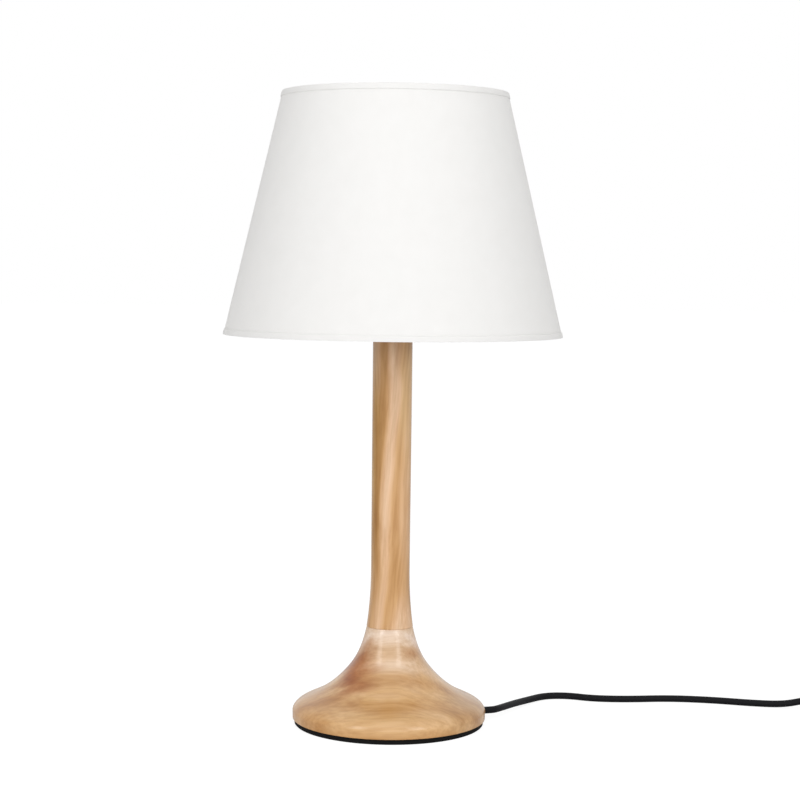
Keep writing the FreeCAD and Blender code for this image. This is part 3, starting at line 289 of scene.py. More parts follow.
def lacquered_wood(name, grain, shift, stain, bands, zones):
    """Pale hardwood: fibres along GRAIN, BANDS of year rings and soft ZONES of other colour, some
    of them painted light and shade.

    STAIN has the tones from dark to pale, and each zone its centre, reach, tint and strength."""
    material, links, surface, add = shader(name)
    place = add("ShaderNodeTexCoord")
    lay = add("ShaderNodeMapping", Location=shift, Rotation=grain)
    links.new(place.outputs["Object"], lay.inputs["Vector"])
    # slow drift of the blank's rings
    drift = add("ShaderNodeTexNoise", Scale=9.0, Detail=2.0, Roughness=0.5)
    links.new(lay.outputs["Vector"], drift.inputs["Vector"])
    sway = add("ShaderNodeVectorMath", operation="SCALE")
    sway.inputs["Scale"].default_value = bands["sway"]
    links.new(drift.outputs["Color"], sway.inputs[0])
    bent = add("ShaderNodeVectorMath", operation="ADD")
    links.new(lay.outputs["Vector"], bent.inputs[0])
    links.new(sway.outputs["Vector"], bent.inputs[1])
    rings = add("ShaderNodeTexWave", wave_type="RINGS", rings_direction="X")
    rings.inputs["Scale"].default_value = bands["scale"]
    rings.inputs["Distortion"].default_value = bands["distortion"]
    rings.inputs["Detail"].default_value = 2.0
    rings.inputs["Detail Scale"].default_value = 0.6
    links.new(bent.outputs["Vector"], rings.inputs["Vector"])
    # fibres: noise drawn out along the grain
    thin = add("ShaderNodeMapping", Scale=(2.2, 60.0, 60.0))
    links.new(bent.outputs["Vector"], thin.inputs["Vector"])
    fibre = add("ShaderNodeTexNoise", Scale=6.0, Detail=6.0, Roughness=0.62)
    links.new(thin.outputs["Vector"], fibre.inputs["Vector"])
    broad = add("ShaderNodeMapping", Scale=(1.0, 9.0, 9.0))
    links.new(bent.outputs["Vector"], broad.inputs["Vector"])
    patch = add("ShaderNodeTexNoise", Scale=bands["patch"], Detail=2.0)
    links.new(broad.outputs["Vector"], patch.inputs["Vector"])
    year = add("ShaderNodeMix", data_type="FLOAT", Factor=bands["blend"])
    links.new(patch.outputs["Fac"], year.inputs[2])
    links.new(rings.outputs["Fac"], year.inputs[3])
    wood = add("ShaderNodeValToRGB")
    wood.color_ramp.elements.remove(wood.color_ramp.elements[1])
    wood.color_ramp.elements[0].position = stain[0][0]
    for at, _ in stain[1:]:
        wood.color_ramp.elements.new(at)
    for stop, (_, tone) in zip(wood.color_ramp.elements, stain):
        stop.color = (*tone, 1.0)
    links.new(year.outputs[0], wood.inputs["Fac"])
    streak = add("ShaderNodeValToRGB")
    streak.color_ramp.elements[0].position = 0.36
    streak.color_ramp.elements[0].color = (0.80, 0.72, 0.62, 1.0)
    streak.color_ramp.elements[1].position = 0.62
    streak.color_ramp.elements[1].color = (1.0, 1.0, 1.0, 1.0)
    links.new(fibre.outputs["Fac"], streak.inputs["Fac"])
    stained = add("ShaderNodeMix", data_type="RGBA", blend_type="MULTIPLY")
    stained.inputs[0].default_value = bands["fibre"]
    links.new(wood.outputs["Color"], stained.inputs[6])
    links.new(streak.outputs["Color"], stained.inputs[7])
    tone = stained.outputs[2]
    # a zone's edge is ragged by the broad patches of the wood
    for centre, reach, tint, strength in zones:
        apart = add("ShaderNodeVectorMath", operation="SUBTRACT")
        apart.inputs[1].default_value = centre
        links.new(place.outputs["Object"], apart.inputs[0])
        shrunk = add("ShaderNodeVectorMath", operation="DIVIDE")
        shrunk.inputs[1].default_value = reach
        links.new(apart.outputs["Vector"], shrunk.inputs[0])
        from_centre = add("ShaderNodeVectorMath", operation="LENGTH")
        links.new(shrunk.outputs["Vector"], from_centre.inputs[0])
        ragged = add("ShaderNodeMath", operation="MULTIPLY_ADD")
        ragged.inputs[1].default_value = 0.9
        links.new(patch.outputs["Fac"], ragged.inputs[0])
        links.new(from_centre.outputs["Value"], ragged.inputs[2])
        inside = add("ShaderNodeMapRange", interpolation_type="SMOOTHSTEP")
        inside.inputs["From Min"].default_value = 0.65
        inside.inputs["From Max"].default_value = 1.45
        inside.inputs["To Min"].default_value = strength
        inside.inputs["To Max"].default_value = 0.0
        links.new(ragged.outputs["Value"], inside.inputs["Value"])
        zone = add("ShaderNodeMix", data_type="RGBA", blend_type="MULTIPLY")
        zone.inputs[7].default_value = (*tint, 1.0)
        links.new(inside.outputs["Result"], zone.inputs[0])
        links.new(tone, zone.inputs[6])
        tone = zone.outputs[2]
    links.new(tone, surface.inputs["Base Color"])
    worn = add("ShaderNodeMapRange")
    worn.inputs["To Min"].default_value = 0.34
    worn.inputs["To Max"].default_value = 0.48
    links.new(fibre.outputs["Fac"], worn.inputs["Value"])
    links.new(worn.outputs["Result"], surface.inputs["Roughness"])
    relief = add("ShaderNodeBump", Strength=0.12, Distance=0.0002)
    links.new(fibre.outputs["Fac"], relief.inputs["Height"])
    links.new(relief.outputs["Normal"], surface.inputs["Normal"])
    surface.inputs["Coat Weight"].default_value = 0.7
    surface.inputs["Coat Roughness"].default_value = 0.17
    surface.inputs["Specular IOR Level"].default_value = 0.15
    return material


# the foot's profile, from its rim to its neck, as shares of its spread and its climb
RIM = PAD_TOP + 6.5 * MM
SPREAD = BASE_RADIUS - NECK_RADIUS
CLIMB = SEAM - RIM
base_template = [
    (BASE_RADIUS, RIM),
    (BASE_RADIUS, RIM + CLIMB * 0.024),
    (NECK_RADIUS + SPREAD * 0.947, RIM + CLIMB * 0.096),
    (NECK_RADIUS + SPREAD * 0.754, RIM + CLIMB * 0.164),
    (NECK_RADIUS + SPREAD * 0.538, RIM + CLIMB * 0.259),
    (NECK_RADIUS + SPREAD * 0.258, RIM + CLIMB * 0.474),
    (NECK_RADIUS + SPREAD * 0.070, RIM + CLIMB * 0.710),
    (NECK_RADIUS, SEAM - BEVEL),
]
PROFILE_STEPS = 64
CAVITY_RADIUS = 56.0 * MM
CAVITY_TOP = PAD_TOP + 15.0 * MM
RECESS_RADIUS = 16.0 * MM
RECESS_TOP = CAVITY_TOP + 15.0 * MM
BORE_RADIUS = 5.2 * MM
SOCKET_RADIUS = 10.2 * MM
SOCKET_FLOOR = SEAM - 7.7 * MM
# the stain's tones, from the dark rings to the pale ones
BASE_STAIN = ((0.12, (0.48, 0.235, 0.070)), (0.38, (0.61, 0.345, 0.138)),
              (0.62, (0.70, 0.435, 0.205)), (0.88, (0.77, 0.51, 0.29)))
BASE_BANDS = {"sway": 0.020, "scale": 13.0, "distortion": 1.6, "patch": 9.0, "blend": 0.34,
              "fibre": 0.7}
# each zone's centre, reach, tint and strength
BASE_ZONES = (
    # a dark brown patch left of the neck
    ((-0.030, -0.022, 0.050), (0.028, 0.060, 0.030), (0.56, 0.28, 0.08), 1.0),
    # a short streak right of the neck
    ((0.024, -0.020, 0.060), (0.018, 0.030, 0.008), (0.72, 0.54, 0.38), 0.9),
    # the paler, pinker neck: partly the wood's tone, partly a painted sheen of the lamps' gleams
    ((0.0, 0.0, 0.086), (0.400, 0.400, 0.056), (1.18, 1.50, 2.50), 1.0),
    # painted shade on the rim: darker and warmer on the left, darker and greyer on the right
    ((-0.064, -0.030, 0.018), (0.046, 0.060, 0.024), (0.84, 0.72, 0.52), 0.9),
    ((0.080, -0.020, 0.018), (0.060, 0.080, 0.030), (0.76, 0.72, 0.66), 1.0))
base_wood = lacquered_wood("base_wood", (0.0, 0.0, 0.10), (0.03, 0.055, 0.012),
                           BASE_STAIN, BASE_BANDS, BASE_ZONES)
base_outline = (
    [(CAVITY_RADIUS, PAD_TOP), (BASE_RADIUS - BEVEL * 2, PAD_TOP),
     (BASE_RADIUS - BEVEL * 0.4, PAD_TOP + BEVEL)]
    + curve_points(base_template, PROFILE_STEPS)
    + [(NECK_RADIUS - BEVEL, SEAM), (SOCKET_RADIUS, SEAM), (SOCKET_RADIUS, SOCKET_FLOOR),
       (BORE_RADIUS, SOCKET_FLOOR), (BORE_RADIUS, RECESS_TOP), (RECESS_RADIUS, RECESS_TOP),
       (RECESS_RADIUS, CAVITY_TOP), (CAVITY_RADIUS, CAVITY_TOP)])
base_piece = turned_piece("turned_base", base_outline, base_wood)
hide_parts("wooden_base")
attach(base_piece, "root")


# ---------------------------------------------------------------- weight
# A cast iron disc in the base's cavity keeps the slim lamp from tipping over. Three zinc-plated
# steel screws hold it to the wood.

def plated(name, colour, rough, metal=1.0):
    """Metal with a faint mottle in its tone and a little wear in its gloss."""
    material, links, surface, add = shader(name)
    place = add("ShaderNodeTexCoord")
    fine = add("ShaderNodeTexNoise", Scale=900.0, Detail=4.0)
    links.new(place.outputs["Object"], fine.inputs["Vector"])
    shade_of = add("ShaderNodeValToRGB")
    shade_of.color_ramp.elements[0].color = (*[c * 0.82 for c in colour], 1.0)
    shade_of.color_ramp.elements[1].color = (*colour, 1.0)
    links.new(fine.outputs["Fac"], shade_of.inputs["Fac"])
    links.new(shade_of.outputs["Color"], surface.inputs["Base Color"])
    wear = add("ShaderNodeMapRange")
    wear.inputs["To Min"].default_value = rough * 0.75
    wear.inputs["To Max"].default_value = rough * 1.3
    links.new(fine.outputs["Fac"], wear.inputs["Value"])
    links.new(wear.outputs["Result"], surface.inputs["Roughness"])
    surface.inputs["Metallic"].default_value = metal
    return material


casting = plated("raw_casting", (0.10, 0.10, 0.105), 0.75, metal=0.6)
zinc = plated("zinc_plate", (0.70, 0.71, 0.72), 0.30)
paint(casting, "base_weight")
paint(zinc, "weight_screws")


# ---------------------------------------------------------------- threaded tube and its nuts
# A zinc-plated steel tube runs up through base and column. The washer and nut below and the
# collar and nut above draw the turned pieces together, and the lampholder sits on its end.

paint(zinc, "threaded_tube", "lower_washer", "lower_nut", "column_collar", "upper_nut")


# ---------------------------------------------------------------- wooden column
# A slim column turned from the same pale hardwood, with its grain upright. It flares at its foot
# into the base, where a fine dark joint shows between the two turned pieces.

COLUMN_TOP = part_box("wooden_column")[1].z
COLUMN_RADIUS = 15.7 * MM
WAIST_RADIUS = 15.4 * MM
FLARE = 48.0 * MM
FLARE_STEPS = 30
TENON = 7.5 * MM
TENON_RADIUS = 10.0 * MM
NARROWING = NECK_RADIUS - WAIST_RADIUS
flare_template = [
    (NECK_RADIUS, SEAM + BEVEL * 0.6),
    (NECK_RADIUS - NARROWING * 0.34, SEAM + FLARE * 0.16),
    (NECK_RADIUS - NARROWING * 0.80, SEAM + FLARE * 0.45),
    (WAIST_RADIUS, SEAM + FLARE * 0.75),
    (WAIST_RADIUS, SEAM + FLARE),
]
COLUMN_STAIN = ((0.15, (0.52, 0.275, 0.095)), (0.38, (0.65, 0.38, 0.170)),
                (0.60, (0.76, 0.49, 0.29)), (0.85, (0.84, 0.61, 0.42)))
COLUMN_BANDS = {"sway": 0.008, "scale": 20.0, "distortion": 1.2, "patch": 10.0, "blend": 0.40,
                "fibre": 0.85}
COLUMN_ZONES = (
    # yellower along the left
    ((-0.020, -0.010, 0.200), (0.0175, 0.030, 0.160), (0.64, 0.54, 0.23), 1.0),
    # paler on the right above, duller on the right below
    ((0.012, -0.012, 0.268), (0.010, 0.030, 0.080), (1.22, 1.40, 1.70), 1.0),
    ((0.022, -0.004, 0.130), (0.0090, 0.030, 0.110), (0.82, 0.78, 0.66), 0.8),
    # painted shadow of the shade: the column's top darker and browner, as the picture has it
    ((0.0, 0.0, 0.334), (0.400, 0.400, 0.072), (0.56, 0.48, 0.38), 1.0))
column_wood = lacquered_wood("column_wood", (0.05, math.radians(86.0), 0.0),
                             (0.02, 0.031, 0.017), COLUMN_STAIN, COLUMN_BANDS, COLUMN_ZONES)
column_outline = (
    [(BORE_RADIUS, SEAM - TENON), (TENON_RADIUS, SEAM - TENON), (TENON_RADIUS, SEAM),
     (NECK_RADIUS - BEVEL * 0.6, SEAM)]
    + curve_points(flare_template, FLARE_STEPS)
    + [(COLUMN_RADIUS, COLUMN_TOP), (BORE_RADIUS, COLUMN_TOP)])
column_piece = turned_piece("turned_column", column_outline, column_wood)
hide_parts("wooden_column")
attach(column_piece, "root")


# ---------------------------------------------------------------- lampholder
# A plain white screw holder of heat-proof plastic in two halves, with brass contacts on an insert
# of steatite. Its cap screws on the tube, and a stepped ring clamps the shade's fitter plate.

def moulded(name, dark_tone, light_tone, rough, grain_scale=700.0, coat=0.0):
    """Moulded plastic or glaze: a faint mottle, a fine spark-eroded texture, its own gloss."""
    material, links, surface, add = shader(name)
    place = add("ShaderNodeTexCoord")
    grain = add("ShaderNodeTexNoise", Scale=grain_scale, Detail=3.0)
    cloud = add("ShaderNodeTexNoise", Scale=35.0, Detail=2.0)
    links.new(place.outputs["Object"], grain.inputs["Vector"])
    links.new(place.outputs["Object"], cloud.inputs["Vector"])
    tone_of = add("ShaderNodeValToRGB")
    tone_of.color_ramp.elements[0].color = (*dark_tone, 1.0)
    tone_of.color_ramp.elements[1].color = (*light_tone, 1.0)
    links.new(cloud.outputs["Fac"], tone_of.inputs["Fac"])
    links.new(tone_of.outputs["Color"], surface.inputs["Base Color"])
    bump = add("ShaderNodeBump", Strength=0.10, Distance=0.0001)
    links.new(grain.outputs["Fac"], bump.inputs["Height"])
    links.new(bump.outputs["Normal"], surface.inputs["Normal"])
    surface.inputs["Roughness"].default_value = rough
    surface.inputs["Coat Weight"].default_value = coat
    return material


holder_white = moulded("holder_plastic", (0.78, 0.78, 0.76), (0.84, 0.84, 0.82), 0.42)
steatite = moulded("glazed_steatite", (0.80, 0.78, 0.73), (0.86, 0.85, 0.81), 0.18, 300.0, 0.5)
brass = plated("bare_brass", (0.80, 0.60, 0.28), 0.28)
paint(holder_white, "holder_cap", "holder_body", "shade_ring")
paint(steatite, "contact_carrier")
paint(brass, "centre_contact", "terminal_screws", "screw_shell")


# ---------------------------------------------------------------- shade frame
# Two rings, three cranked arms and a round fitter plate, bent and welded from steel wire and
# sheet, and enamelled white, so that they don't show through the cloth.

enamel, surface = mottled("white_enamel", ((0.80, 0.80, 0.79), (0.88, 0.88, 0.87)), 0.32,
                          grain=(260.0, 3.0), bump=(0.08, 0.0002))
paint(enamel, "shade_frame", "upper_ring")


# ---------------------------------------------------------------- shade
# A tapered shade of off-white cotton laminated on a stiff film, rolled into a cone and glued
# with a narrow overlap at the back. Its two edges are turned over the wire rings.

SHADE_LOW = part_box("bottom_hem")[0].z
SHADE_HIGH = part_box("top_hem")[1].z
LOW_RADIUS = 134.3 * MM
HIGH_RADIUS = 89.2 * MM
HEM = 4.4 * MM
TAPE = 0.5 * MM
FILM = 0.5 * MM
OVERLAP = 10.0 * MM
LAP_TURN = 0.06
CLOTH_SPAN = 0.85
CLOTH_HEIGHT = 0.195


def shade_outside(height):
    """The cone's outer radius at a height."""
    share = (height - SHADE_LOW) / (SHADE_HIGH - SHADE_LOW)
    return LOW_RADIUS + (HIGH_RADIUS - LOW_RADIUS) * share


cotton, links, surface, add = shader("laminated_cotton")
weave_map = add("ShaderNodeUVMap", uv_map="cloth")
warp = add("ShaderNodeTexWave", wave_type="BANDS", bands_direction="X", Scale=620.0)
weft = add("ShaderNodeTexWave", wave_type="BANDS", bands_direction="Y", Scale=560.0)
slub = add("ShaderNodeTexNoise", Scale=70.0, Detail=4.0)
for thread in (warp, weft):
    thread.inputs["Distortion"].default_value = 1.2
    thread.inputs["Detail"].default_value = 1.0
    links.new(weave_map.outputs["UV"], thread.inputs["Vector"])
links.new(weave_map.outputs["UV"], slub.inputs["Vector"])
woven = add("ShaderNodeMix", data_type="FLOAT", Factor=0.5)
links.new(warp.outputs["Fac"], woven.inputs[2])
links.new(weft.outputs["Fac"], woven.inputs[3])
cloth_tone = add("ShaderNodeValToRGB")
cloth_tone.color_ramp.elements[0].color = (0.885, 0.878, 0.862, 1.0)
cloth_tone.color_ramp.elements[1].color = (0.925, 0.918, 0.905, 1.0)
links.new(slub.outputs["Fac"], cloth_tone.inputs["Fac"])
threads = add("ShaderNodeMix", data_type="RGBA", blend_type="MULTIPLY")
threads.inputs[0].default_value = 0.06
links.new(cloth_tone.outputs["Color"], threads.inputs[6])
links.new(woven.outputs[0], threads.inputs[7])
links.new(threads.outputs[2], surface.inputs["Base Color"])
nap = add("ShaderNodeBump", Strength=0.10, Distance=0.0001)
links.new(woven.outputs[0], nap.inputs["Height"])
links.new(nap.outputs["Normal"], surface.inputs["Normal"])
surface.inputs["Roughness"].default_value = 0.88
surface.inputs["Specular IOR Level"].default_value = 0.2
surface.inputs["Sheen Weight"].default_value = 0.15
through = add("ShaderNodeBsdfTranslucent", Color=(0.93, 0.92, 0.90, 1.0))
lit_cloth = add("ShaderNodeMixShader", Fac=0.14)
links.new(surface.outputs[0], lit_cloth.inputs[1])
links.new(through.outputs[0], lit_cloth.inputs[2])
cotton_end = cotton.node_tree.nodes["Material Output"]
links.new(lit_cloth.outputs[0], cotton_end.inputs["Surface"])


def rolled_cone_tree(name, material):
    """Geometry Nodes: a cone rolled from a grid, its overlap lying outside its own start."""
    tree = bpy.data.node_groups.new(name, "GeometryNodeTree")
    tree.interface.new_socket("Geometry", in_out="OUTPUT", socket_type="NodeSocketGeometry")
    sizes = {}
    for label, value in (("Low radius", 0.13), ("High radius", 0.09), ("Low height", 0.31),
                         ("High height", 0.50), ("Overlap", 0.010), ("Lift", 0.0003)):
        socket = tree.interface.new_socket(label, in_out="INPUT", socket_type="NodeSocketFloat")
        socket.default_value = value
        sizes[label] = socket.identifier
    entry = tree.nodes.new("NodeGroupInput")
    leave = tree.nodes.new("NodeGroupOutput")

    def maths(operation, first, second=None):
        node = tree.nodes.new("ShaderNodeMath")
        node.operation = operation
        for slot_number, value in enumerate((first, second)):
            if value is None:
                continue
            if isinstance(value, (int, float)):
                node.inputs[slot_number].default_value = value
            else:
                tree.links.new(value, node.inputs[slot_number])
        return node.outputs[0]

    sheet = tree.nodes.new("GeometryNodeMeshGrid")
    sheet.inputs["Size X"].default_value = 1.0
    sheet.inputs["Size Y"].default_value = 1.0
    sheet.inputs["Vertices X"].default_value = 257
    sheet.inputs["Vertices Y"].default_value = 33
    spot = tree.nodes.new("GeometryNodeInputPosition")
    parts = tree.nodes.new("ShaderNodeSeparateXYZ")
    tree.links.new(spot.outputs[0], parts.inputs[0])
    along = maths("ADD", parts.outputs["X"], 0.5)
    up = maths("ADD", parts.outputs["Y"], 0.5)
    overlap_turn = maths("DIVIDE", entry.outputs["Overlap"], entry.outputs["Low radius"])
    turn = maths("MULTIPLY", along, maths("ADD", overlap_turn, 2 * math.pi))
    angle = maths("ADD", turn, math.pi / 2)
    fall = maths("SUBTRACT", entry.outputs["High radius"], entry.outputs["Low radius"])
    cone = maths("ADD", entry.outputs["Low radius"], maths("MULTIPLY", fall, up))
    # the lap rises over the seam's start within the last few degrees of the roll
    lap = tree.nodes.new("ShaderNodeMapRange")
    lap.inputs["From Min"].default_value = 2 * math.pi - LAP_TURN
    lap.inputs["From Max"].default_value = 2 * math.pi
    tree.links.new(turn, lap.inputs["Value"])
    radius = maths("ADD", cone, maths("MULTIPLY", lap.outputs["Result"], entry.outputs["Lift"]))
    joined = tree.nodes.new("ShaderNodeCombineXYZ")
    tree.links.new(maths("MULTIPLY", radius, maths("COSINE", angle)), joined.inputs["X"])
    tree.links.new(maths("MULTIPLY", radius, maths("SINE", angle)), joined.inputs["Y"])
    rise = maths("SUBTRACT", entry.outputs["High height"], entry.outputs["Low height"])
    height = maths("ADD", entry.outputs["Low height"], maths("MULTIPLY", rise, up))
    tree.links.new(height, joined.inputs["Z"])
    # the weave follows the cloth as it lay flat, in metres
    cloth_map = tree.nodes.new("ShaderNodeCombineXYZ")
    tree.links.new(maths("MULTIPLY", along, CLOTH_SPAN), cloth_map.inputs["X"])
    tree.links.new(maths("MULTIPLY", up, CLOTH_HEIGHT), cloth_map.inputs["Y"])
    keep_map = tree.nodes.new("GeometryNodeStoreNamedAttribute")
    keep_map.data_type = "FLOAT2"
    keep_map.domain = "CORNER"
    keep_map.inputs["Name"].default_value = "cloth"
    tree.links.new(sheet.outputs["Mesh"], keep_map.inputs["Geometry"])
    tree.links.new(cloth_map.outputs[0], keep_map.inputs["Value"])
    rolled = tree.nodes.new("GeometryNodeSetPosition")
    tree.links.new(keep_map.outputs["Geometry"], rolled.inputs["Geometry"])
    tree.links.new(joined.outputs[0], rolled.inputs["Position"])
    smooth = tree.nodes.new("GeometryNodeSetShadeSmooth")
    tree.links.new(rolled.outputs[0], smooth.inputs[0])
    real = tree.nodes.new("GeometryNodeRealizeInstances")
    tree.links.new(smooth.outputs[0], real.inputs[0])
    dressed = tree.nodes.new("GeometryNodeSetMaterial")
    dressed.inputs["Material"].default_value = material
    tree.links.new(real.outputs[0], dressed.inputs["Geometry"])
    tree.links.new(dressed.outputs[0], leave.inputs[0])
    return tree, sizes


def from_tree(name, tree, sizes, values):
    """Run a Geometry Nodes tree with the given sizes and keep its mesh as a plain piece."""
    holder = bpy.data.objects.new(name + "_source", bpy.data.meshes.new(name + "_source"))
    bpy.context.scene.collection.objects.link(holder)
    nodes_modifier = holder.modifiers.new("nodes", "NODES")
    nodes_modifier.node_group = tree
    for label, value in values.items():
        nodes_modifier[sizes[label]] = value
    holder.update_tag()
    bpy.context.view_layer.update()
    ready = holder.evaluated_get(bpy.context.evaluated_depsgraph_get())
    mesh = bpy.data.meshes.new_from_object(ready)
    holder.modifiers.remove(nodes_modifier)
    bpy.data.objects.remove(holder)
    piece = bpy.data.objects.new(name, mesh)
    bpy.context.scene.collection.objects.link(piece)
    return piece


SKIN_LOW = SHADE_LOW + TAPE
SKIN_HIGH = SHADE_HIGH - TAPE
UNDER_TAPE = TAPE + 0.35 * MM
shade_tree, shade_sizes = rolled_cone_tree("rolled_shade", cotton)
shade_cloth = from_tree("shade_cloth", shade_tree, shade_sizes, {
    "Low radius": shade_outside(SKIN_LOW) - UNDER_TAPE,
    "High radius": shade_outside(SKIN_HIGH) - UNDER_TAPE,
    "Low height": SKIN_LOW, "High height": SKIN_HIGH, "Overlap": OVERLAP})
stiff_film = shade_cloth.modifiers.new("film", "SOLIDIFY")
stiff_film.thickness = FILM
stiff_film.offset = -1.0
bpy.context.view_layer.update()
solid_cloth = bpy.data.meshes.new_from_object(
    shade_cloth.evaluated_get(bpy.context.evaluated_depsgraph_get()))
shade_cloth.modifiers.remove(stiff_film)
shade_cloth.data = solid_cloth
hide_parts("shade_skin")
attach(shade_cloth, "root")


HEM_POINTS = 8
HEM_SET_IN = 0.42 * MM
HEM_BULGE = 0.22 * MM
HEM_BACK = 1.0 * MM
HEM_FOLD = 1.3 * MM
WEAVE_RADIUS = 0.13


def rolled_hem(name, node, edge, inward):
    """The cloth turned over the ring at one end of the shade: a thin soft-edged band outside."""
    outline = []
    for number in range(HEM_POINTS + 1):
        lean = math.radians(-90 + number * 180 / HEM_POINTS)
        height = edge + inward * HEM * (0.5 + 0.5 * math.sin(lean))
        bulge = HEM_BULGE * math.cos(lean)
        outline.append((shade_outside(height) - HEM_SET_IN + bulge, height))
    outline.append((shade_outside(edge + inward * HEM) - HEM_BACK, edge + inward * HEM))
    outline.append((shade_outside(edge) - HEM_FOLD, edge))
    piece = turned_piece(name, outline, cotton, crease=60.0)
    cloth_layer = piece.data.uv_layers.new(name="cloth")
    for loop in piece.data.loops:
        place_of = piece.data.vertices[loop.vertex_index].co
        turn = math.atan2(place_of.y, place_of.x)
        cloth_layer.data[loop.index].uv = (turn * WEAVE_RADIUS, place_of.z)
    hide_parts(node)
    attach(piece, "root")
    return piece


bottom_roll = rolled_hem("shade_hem_bottom", "bottom_hem", SHADE_LOW, 1)
top_roll = rolled_hem("shade_hem_top", "top_hem", SHADE_HIGH, -1)


# ---------------------------------------------------------------- bulb
# A plain LED bulb: an opal diffuser on a white plastic body, a nickel-plated cap with a rolled
# thread, and black glass with a brass contact at its foot. Its board lies inside.

CAP_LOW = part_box("bulb_cap")[0].z
CAP_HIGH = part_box("bulb_cap")[1].z
CAP_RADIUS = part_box("bulb_cap")[1].x
THREAD_PITCH = 3.63 * MM
THREAD_DEPTH = 0.55 * MM
THREAD_FADE = 0.18
FOOT_SHARE = 0.10
FOOT_DRAWN_IN = 2.4 * MM
CAP_STEPS = 96
CAP_ROWS = 120


def threaded_cap(name, material):
    """The rolled thread of the cap: one round-backed helix that fades out at both ends."""
    verts = []
    faces = []
    for row in range(CAP_ROWS + 1):
        share = row / CAP_ROWS
        height = CAP_LOW + (CAP_HIGH - CAP_LOW) * share
        fade = min(1.0, share / THREAD_FADE, (1 - share) / THREAD_FADE)
        foot = min(1.0, share / FOOT_SHARE)
        for step in range(CAP_STEPS):
            turn = 2 * math.pi * step / CAP_STEPS
            wave = math.cos(2 * math.pi * height / THREAD_PITCH - turn)
            radius = CAP_RADIUS - THREAD_DEPTH * (1 - fade * (0.5 + 0.5 * wave))
            radius -= (1 - foot) * FOOT_DRAWN_IN
            verts.append((radius * math.cos(turn), radius * math.sin(turn), height))
    for row in range(CAP_ROWS):
        here = row * CAP_STEPS
        there = here + CAP_STEPS
        for step in range(CAP_STEPS):
            after = (step + 1) % CAP_STEPS
            faces.append((here + step, here + after, there + after, there + step))
    faces.append(tuple(reversed(range(CAP_STEPS))))
    faces.append(tuple(range(CAP_ROWS * CAP_STEPS, (CAP_ROWS + 1) * CAP_STEPS)))
    return mesh_piece(name, verts, faces, material)


nickel = plated("nickel_plate", (0.76, 0.75, 0.72), 0.20)
cap_piece = threaded_cap("bulb_screw_cap", nickel)
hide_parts("bulb_cap")
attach(cap_piece, "bulb")
bulb_white = moulded("bulb_plastic", (0.84, 0.84, 0.83), (0.88, 0.88, 0.87), 0.30, 500.0)
black_glass = moulded("black_glass", (0.006, 0.006, 0.008), (0.015, 0.015, 0.018), 0.10,
                      90.0, 0.6)
board_white = moulded("board_mask", (0.80, 0.80, 0.77), (0.88, 0.88, 0.86), 0.45)
paint(bulb_white, "bulb_housing")
paint(black_glass, "bulb_insulator")
paint(board_white, "led_board")
paint(brass, "bulb_contact")
opal, surface = mottled("opal_diffuser", ((0.86, 0.86, 0.84), (0.91, 0.91, 0.90)), 0.34,
                        grain=(1100.0, 2.0))
surface.inputs["Subsurface Weight"].default_value = 0.25
surface.inputs["Subsurface Radius"].default_value = (0.01, 0.01, 0.01)
surface.inputs["Subsurface Scale"].default_value = 0.4
paint(opal, "bulb_globe")


# ---------------------------------------------------------------- cord
# A round black two-core cord, 5.6 mm thick and 1.85 m long. It leaves the rim of the base, lies
# on the table to the right, runs through the switch and ends in a tied coil and a plug.

CORD_RADIUS = 2.8 * MM
# from here on the route is in millimetres
COIL_CENTRE = (415.0, -6.0)
COIL_OUTER = 40.8
COIL_TURNS = 3.25
COIL_STEP = 6.2
COIL_LOW = 3.7
POINTS_PER_TURN = 16


def coil_points():
    """In along the lower layer, up a layer in half a turn, and out along the upper one."""
    points = []
    whole = 2 * math.pi * COIL_TURNS
    inner = COIL_OUTER - COIL_STEP * COIL_TURNS
    count = round((2 * whole + math.pi) / (2 * math.pi) * POINTS_PER_TURN)
    for number in range(count + 1):
        angle = (2 * whole + math.pi) * number / count
        lift = 0.0
        if angle <= whole:
            radius = COIL_OUTER - COIL_STEP * angle / (2 * math.pi)
        elif angle < whole + math.pi:
            part = (angle - whole) / math.pi
            radius = inner - COIL_STEP * 0.5 * part * (1 - part)
            lift = COIL_STEP * part * part * (3 - 2 * part)
        else:
            radius = inner + COIL_STEP * (angle - whole - math.pi) / (2 * math.pi)
            lift = COIL_STEP
        # a control point of the curve stands a little outside the turn that it makes
        radius *= 1 + (math.pi / POINTS_PER_TURN) ** 2 / 2
        points.append((COIL_CENTRE[0] + radius * math.cos(-angle),
                       COIL_CENTRE[1] + radius * math.sin(-angle), COIL_LOW + lift))
    return points


cord_route = (
    [(75.6, 15.4, 6.9), (84.0, 17.1, 6.8), (89.6, 24.4, 6.6), (93.8, 32.1, 6.1),
     (103.0, 49.5, 4.9), (115.0, 69.5, 3.3), (131.0, 89.0, 2.8), (151.0, 91.0, 2.8),
     (171.0, 81.0, 2.8), (200.0, 79.5, 2.8), (236.0, 85.0, 2.8), (272.0, 80.0, 2.8),
     (304.0, 70.0, 2.8), (328.0, 65.5, 3.1), (343.0, 63.0, 6.4), (355.0, 62.0, 9.2),
     (365.0, 62.0, 9.2), (380.0, 62.0, 6.4), (412.0, 62.0, 6.4), (427.0, 62.0, 9.2),
     (438.0, 61.4, 8.4), (450.0, 55.5, 5.6), (457.0, 42.0, 4.0), (458.2, 26.0, 3.7),
     (456.6, 11.0, 3.7)]
    + coil_points()
    + [(456.2, -22.0, 9.9), (452.0, -34.0, 8.0), (447.0, -46.0, 6.8), (447.0, -58.0, 6.8)])
cord_rubber, surface = mottled("cord_sheath", ((0.004, 0.004, 0.005), (0.011, 0.011, 0.013)),
                               0.5, grain=(1800.0, 3.0), bump=(0.12, 0.0001))
surface.inputs["Specular IOR Level"].default_value = 0.09
cord_curve = bpy.data.curves.new("mains_cord", "CURVE")
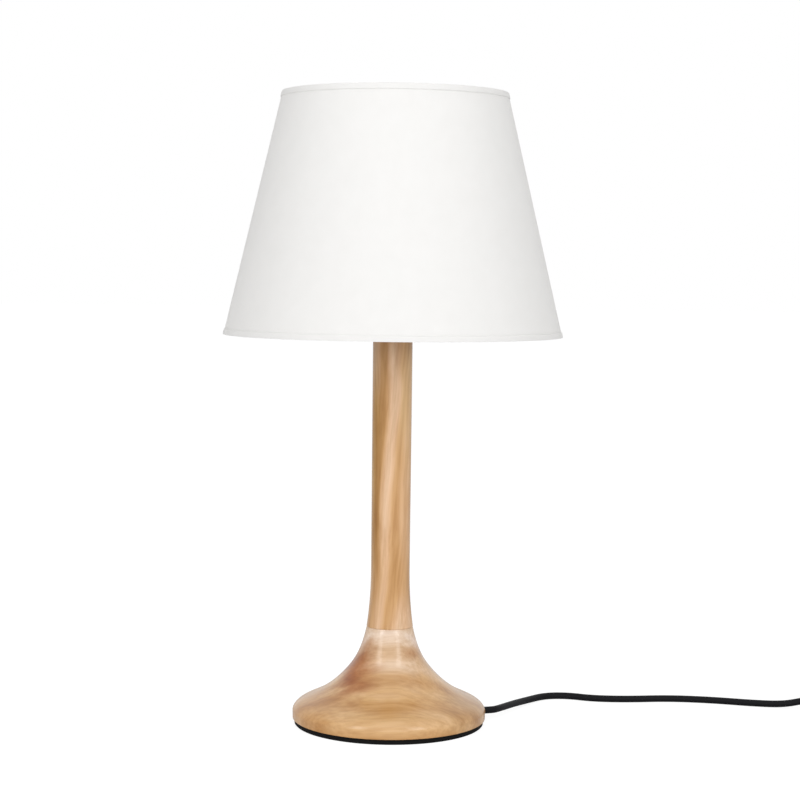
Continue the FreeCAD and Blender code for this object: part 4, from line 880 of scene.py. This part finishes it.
cord_curve.dimensions = "3D"
spline = cord_curve.splines.new("NURBS")
spline.points.add(len(cord_route) - 1)
for control, (x, y, z) in zip(spline.points, cord_route):
    control.co = (x * MM, y * MM, z * MM, 1.0)
spline.order_u = 3
spline.use_endpoint_u = True
spline.resolution_u = 8
cord_curve.bevel_depth = CORD_RADIUS
cord_curve.bevel_resolution = 5
cord_curve.use_fill_caps = True
cord_curve.materials.append(cord_rubber)
mains_cord = bpy.data.objects.new("mains_cord", cord_curve)
bpy.context.scene.collection.objects.link(mains_cord)
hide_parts("cord_lead", "cord_link", "cord_coil", "cord_tail")
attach(mains_cord, "root")


# ---------------------------------------------------------------- bush and lead inside the lamp
# A rubber bush in the rim's hole grips the cord. Inside, its black lead climbs the threaded tube,
# and the brown and the blue core end at the lampholder's terminals.

paint(cord_rubber, "inner_lead", "cord_bush")
paint(moulded("live_core_sheath", (0.16, 0.07, 0.03), (0.22, 0.10, 0.045), 0.4), "live_core")
paint(moulded("neutral_core_sheath", (0.04, 0.15, 0.42), (0.06, 0.20, 0.50), 0.4),
      "neutral_core")


# ---------------------------------------------------------------- coil tie
# A soft black hook-and-loop band round the coil's back, which holds its turns together.

band, surface = mottled("tie_band", ((0.008, 0.008, 0.009), (0.045, 0.045, 0.05)), 0.9,
                        grain=(2400.0, 2.0))
surface.inputs["Sheen Weight"].default_value = 0.3
paint(band, "cord_tie")


# ---------------------------------------------------------------- switch
# A rocker switch in a two-part housing of matt black plastic sits on the cord. Two screws close
# it, and the glossier rocker tilts on a steel pin.

matt_black = moulded("switch_plastic", (0.012, 0.012, 0.013), (0.022, 0.022, 0.024), 0.42,
                     1500.0)
rocker_black = moulded("rocker_plastic", (0.014, 0.014, 0.015), (0.024, 0.024, 0.026), 0.22,
                       900.0)
paint(matt_black, "switch_lower_shell", "switch_upper_shell")
paint(rocker_black, "switch_rocker")
paint(zinc, "rocker_pin", "switch_screws")


# ---------------------------------------------------------------- plug
# A flat two-pin plug of the same matt black plastic, moulded on the cord's end round its two
# nickel-plated pins.

paint(matt_black, "plug_body")
paint(nickel, "plug_pins")
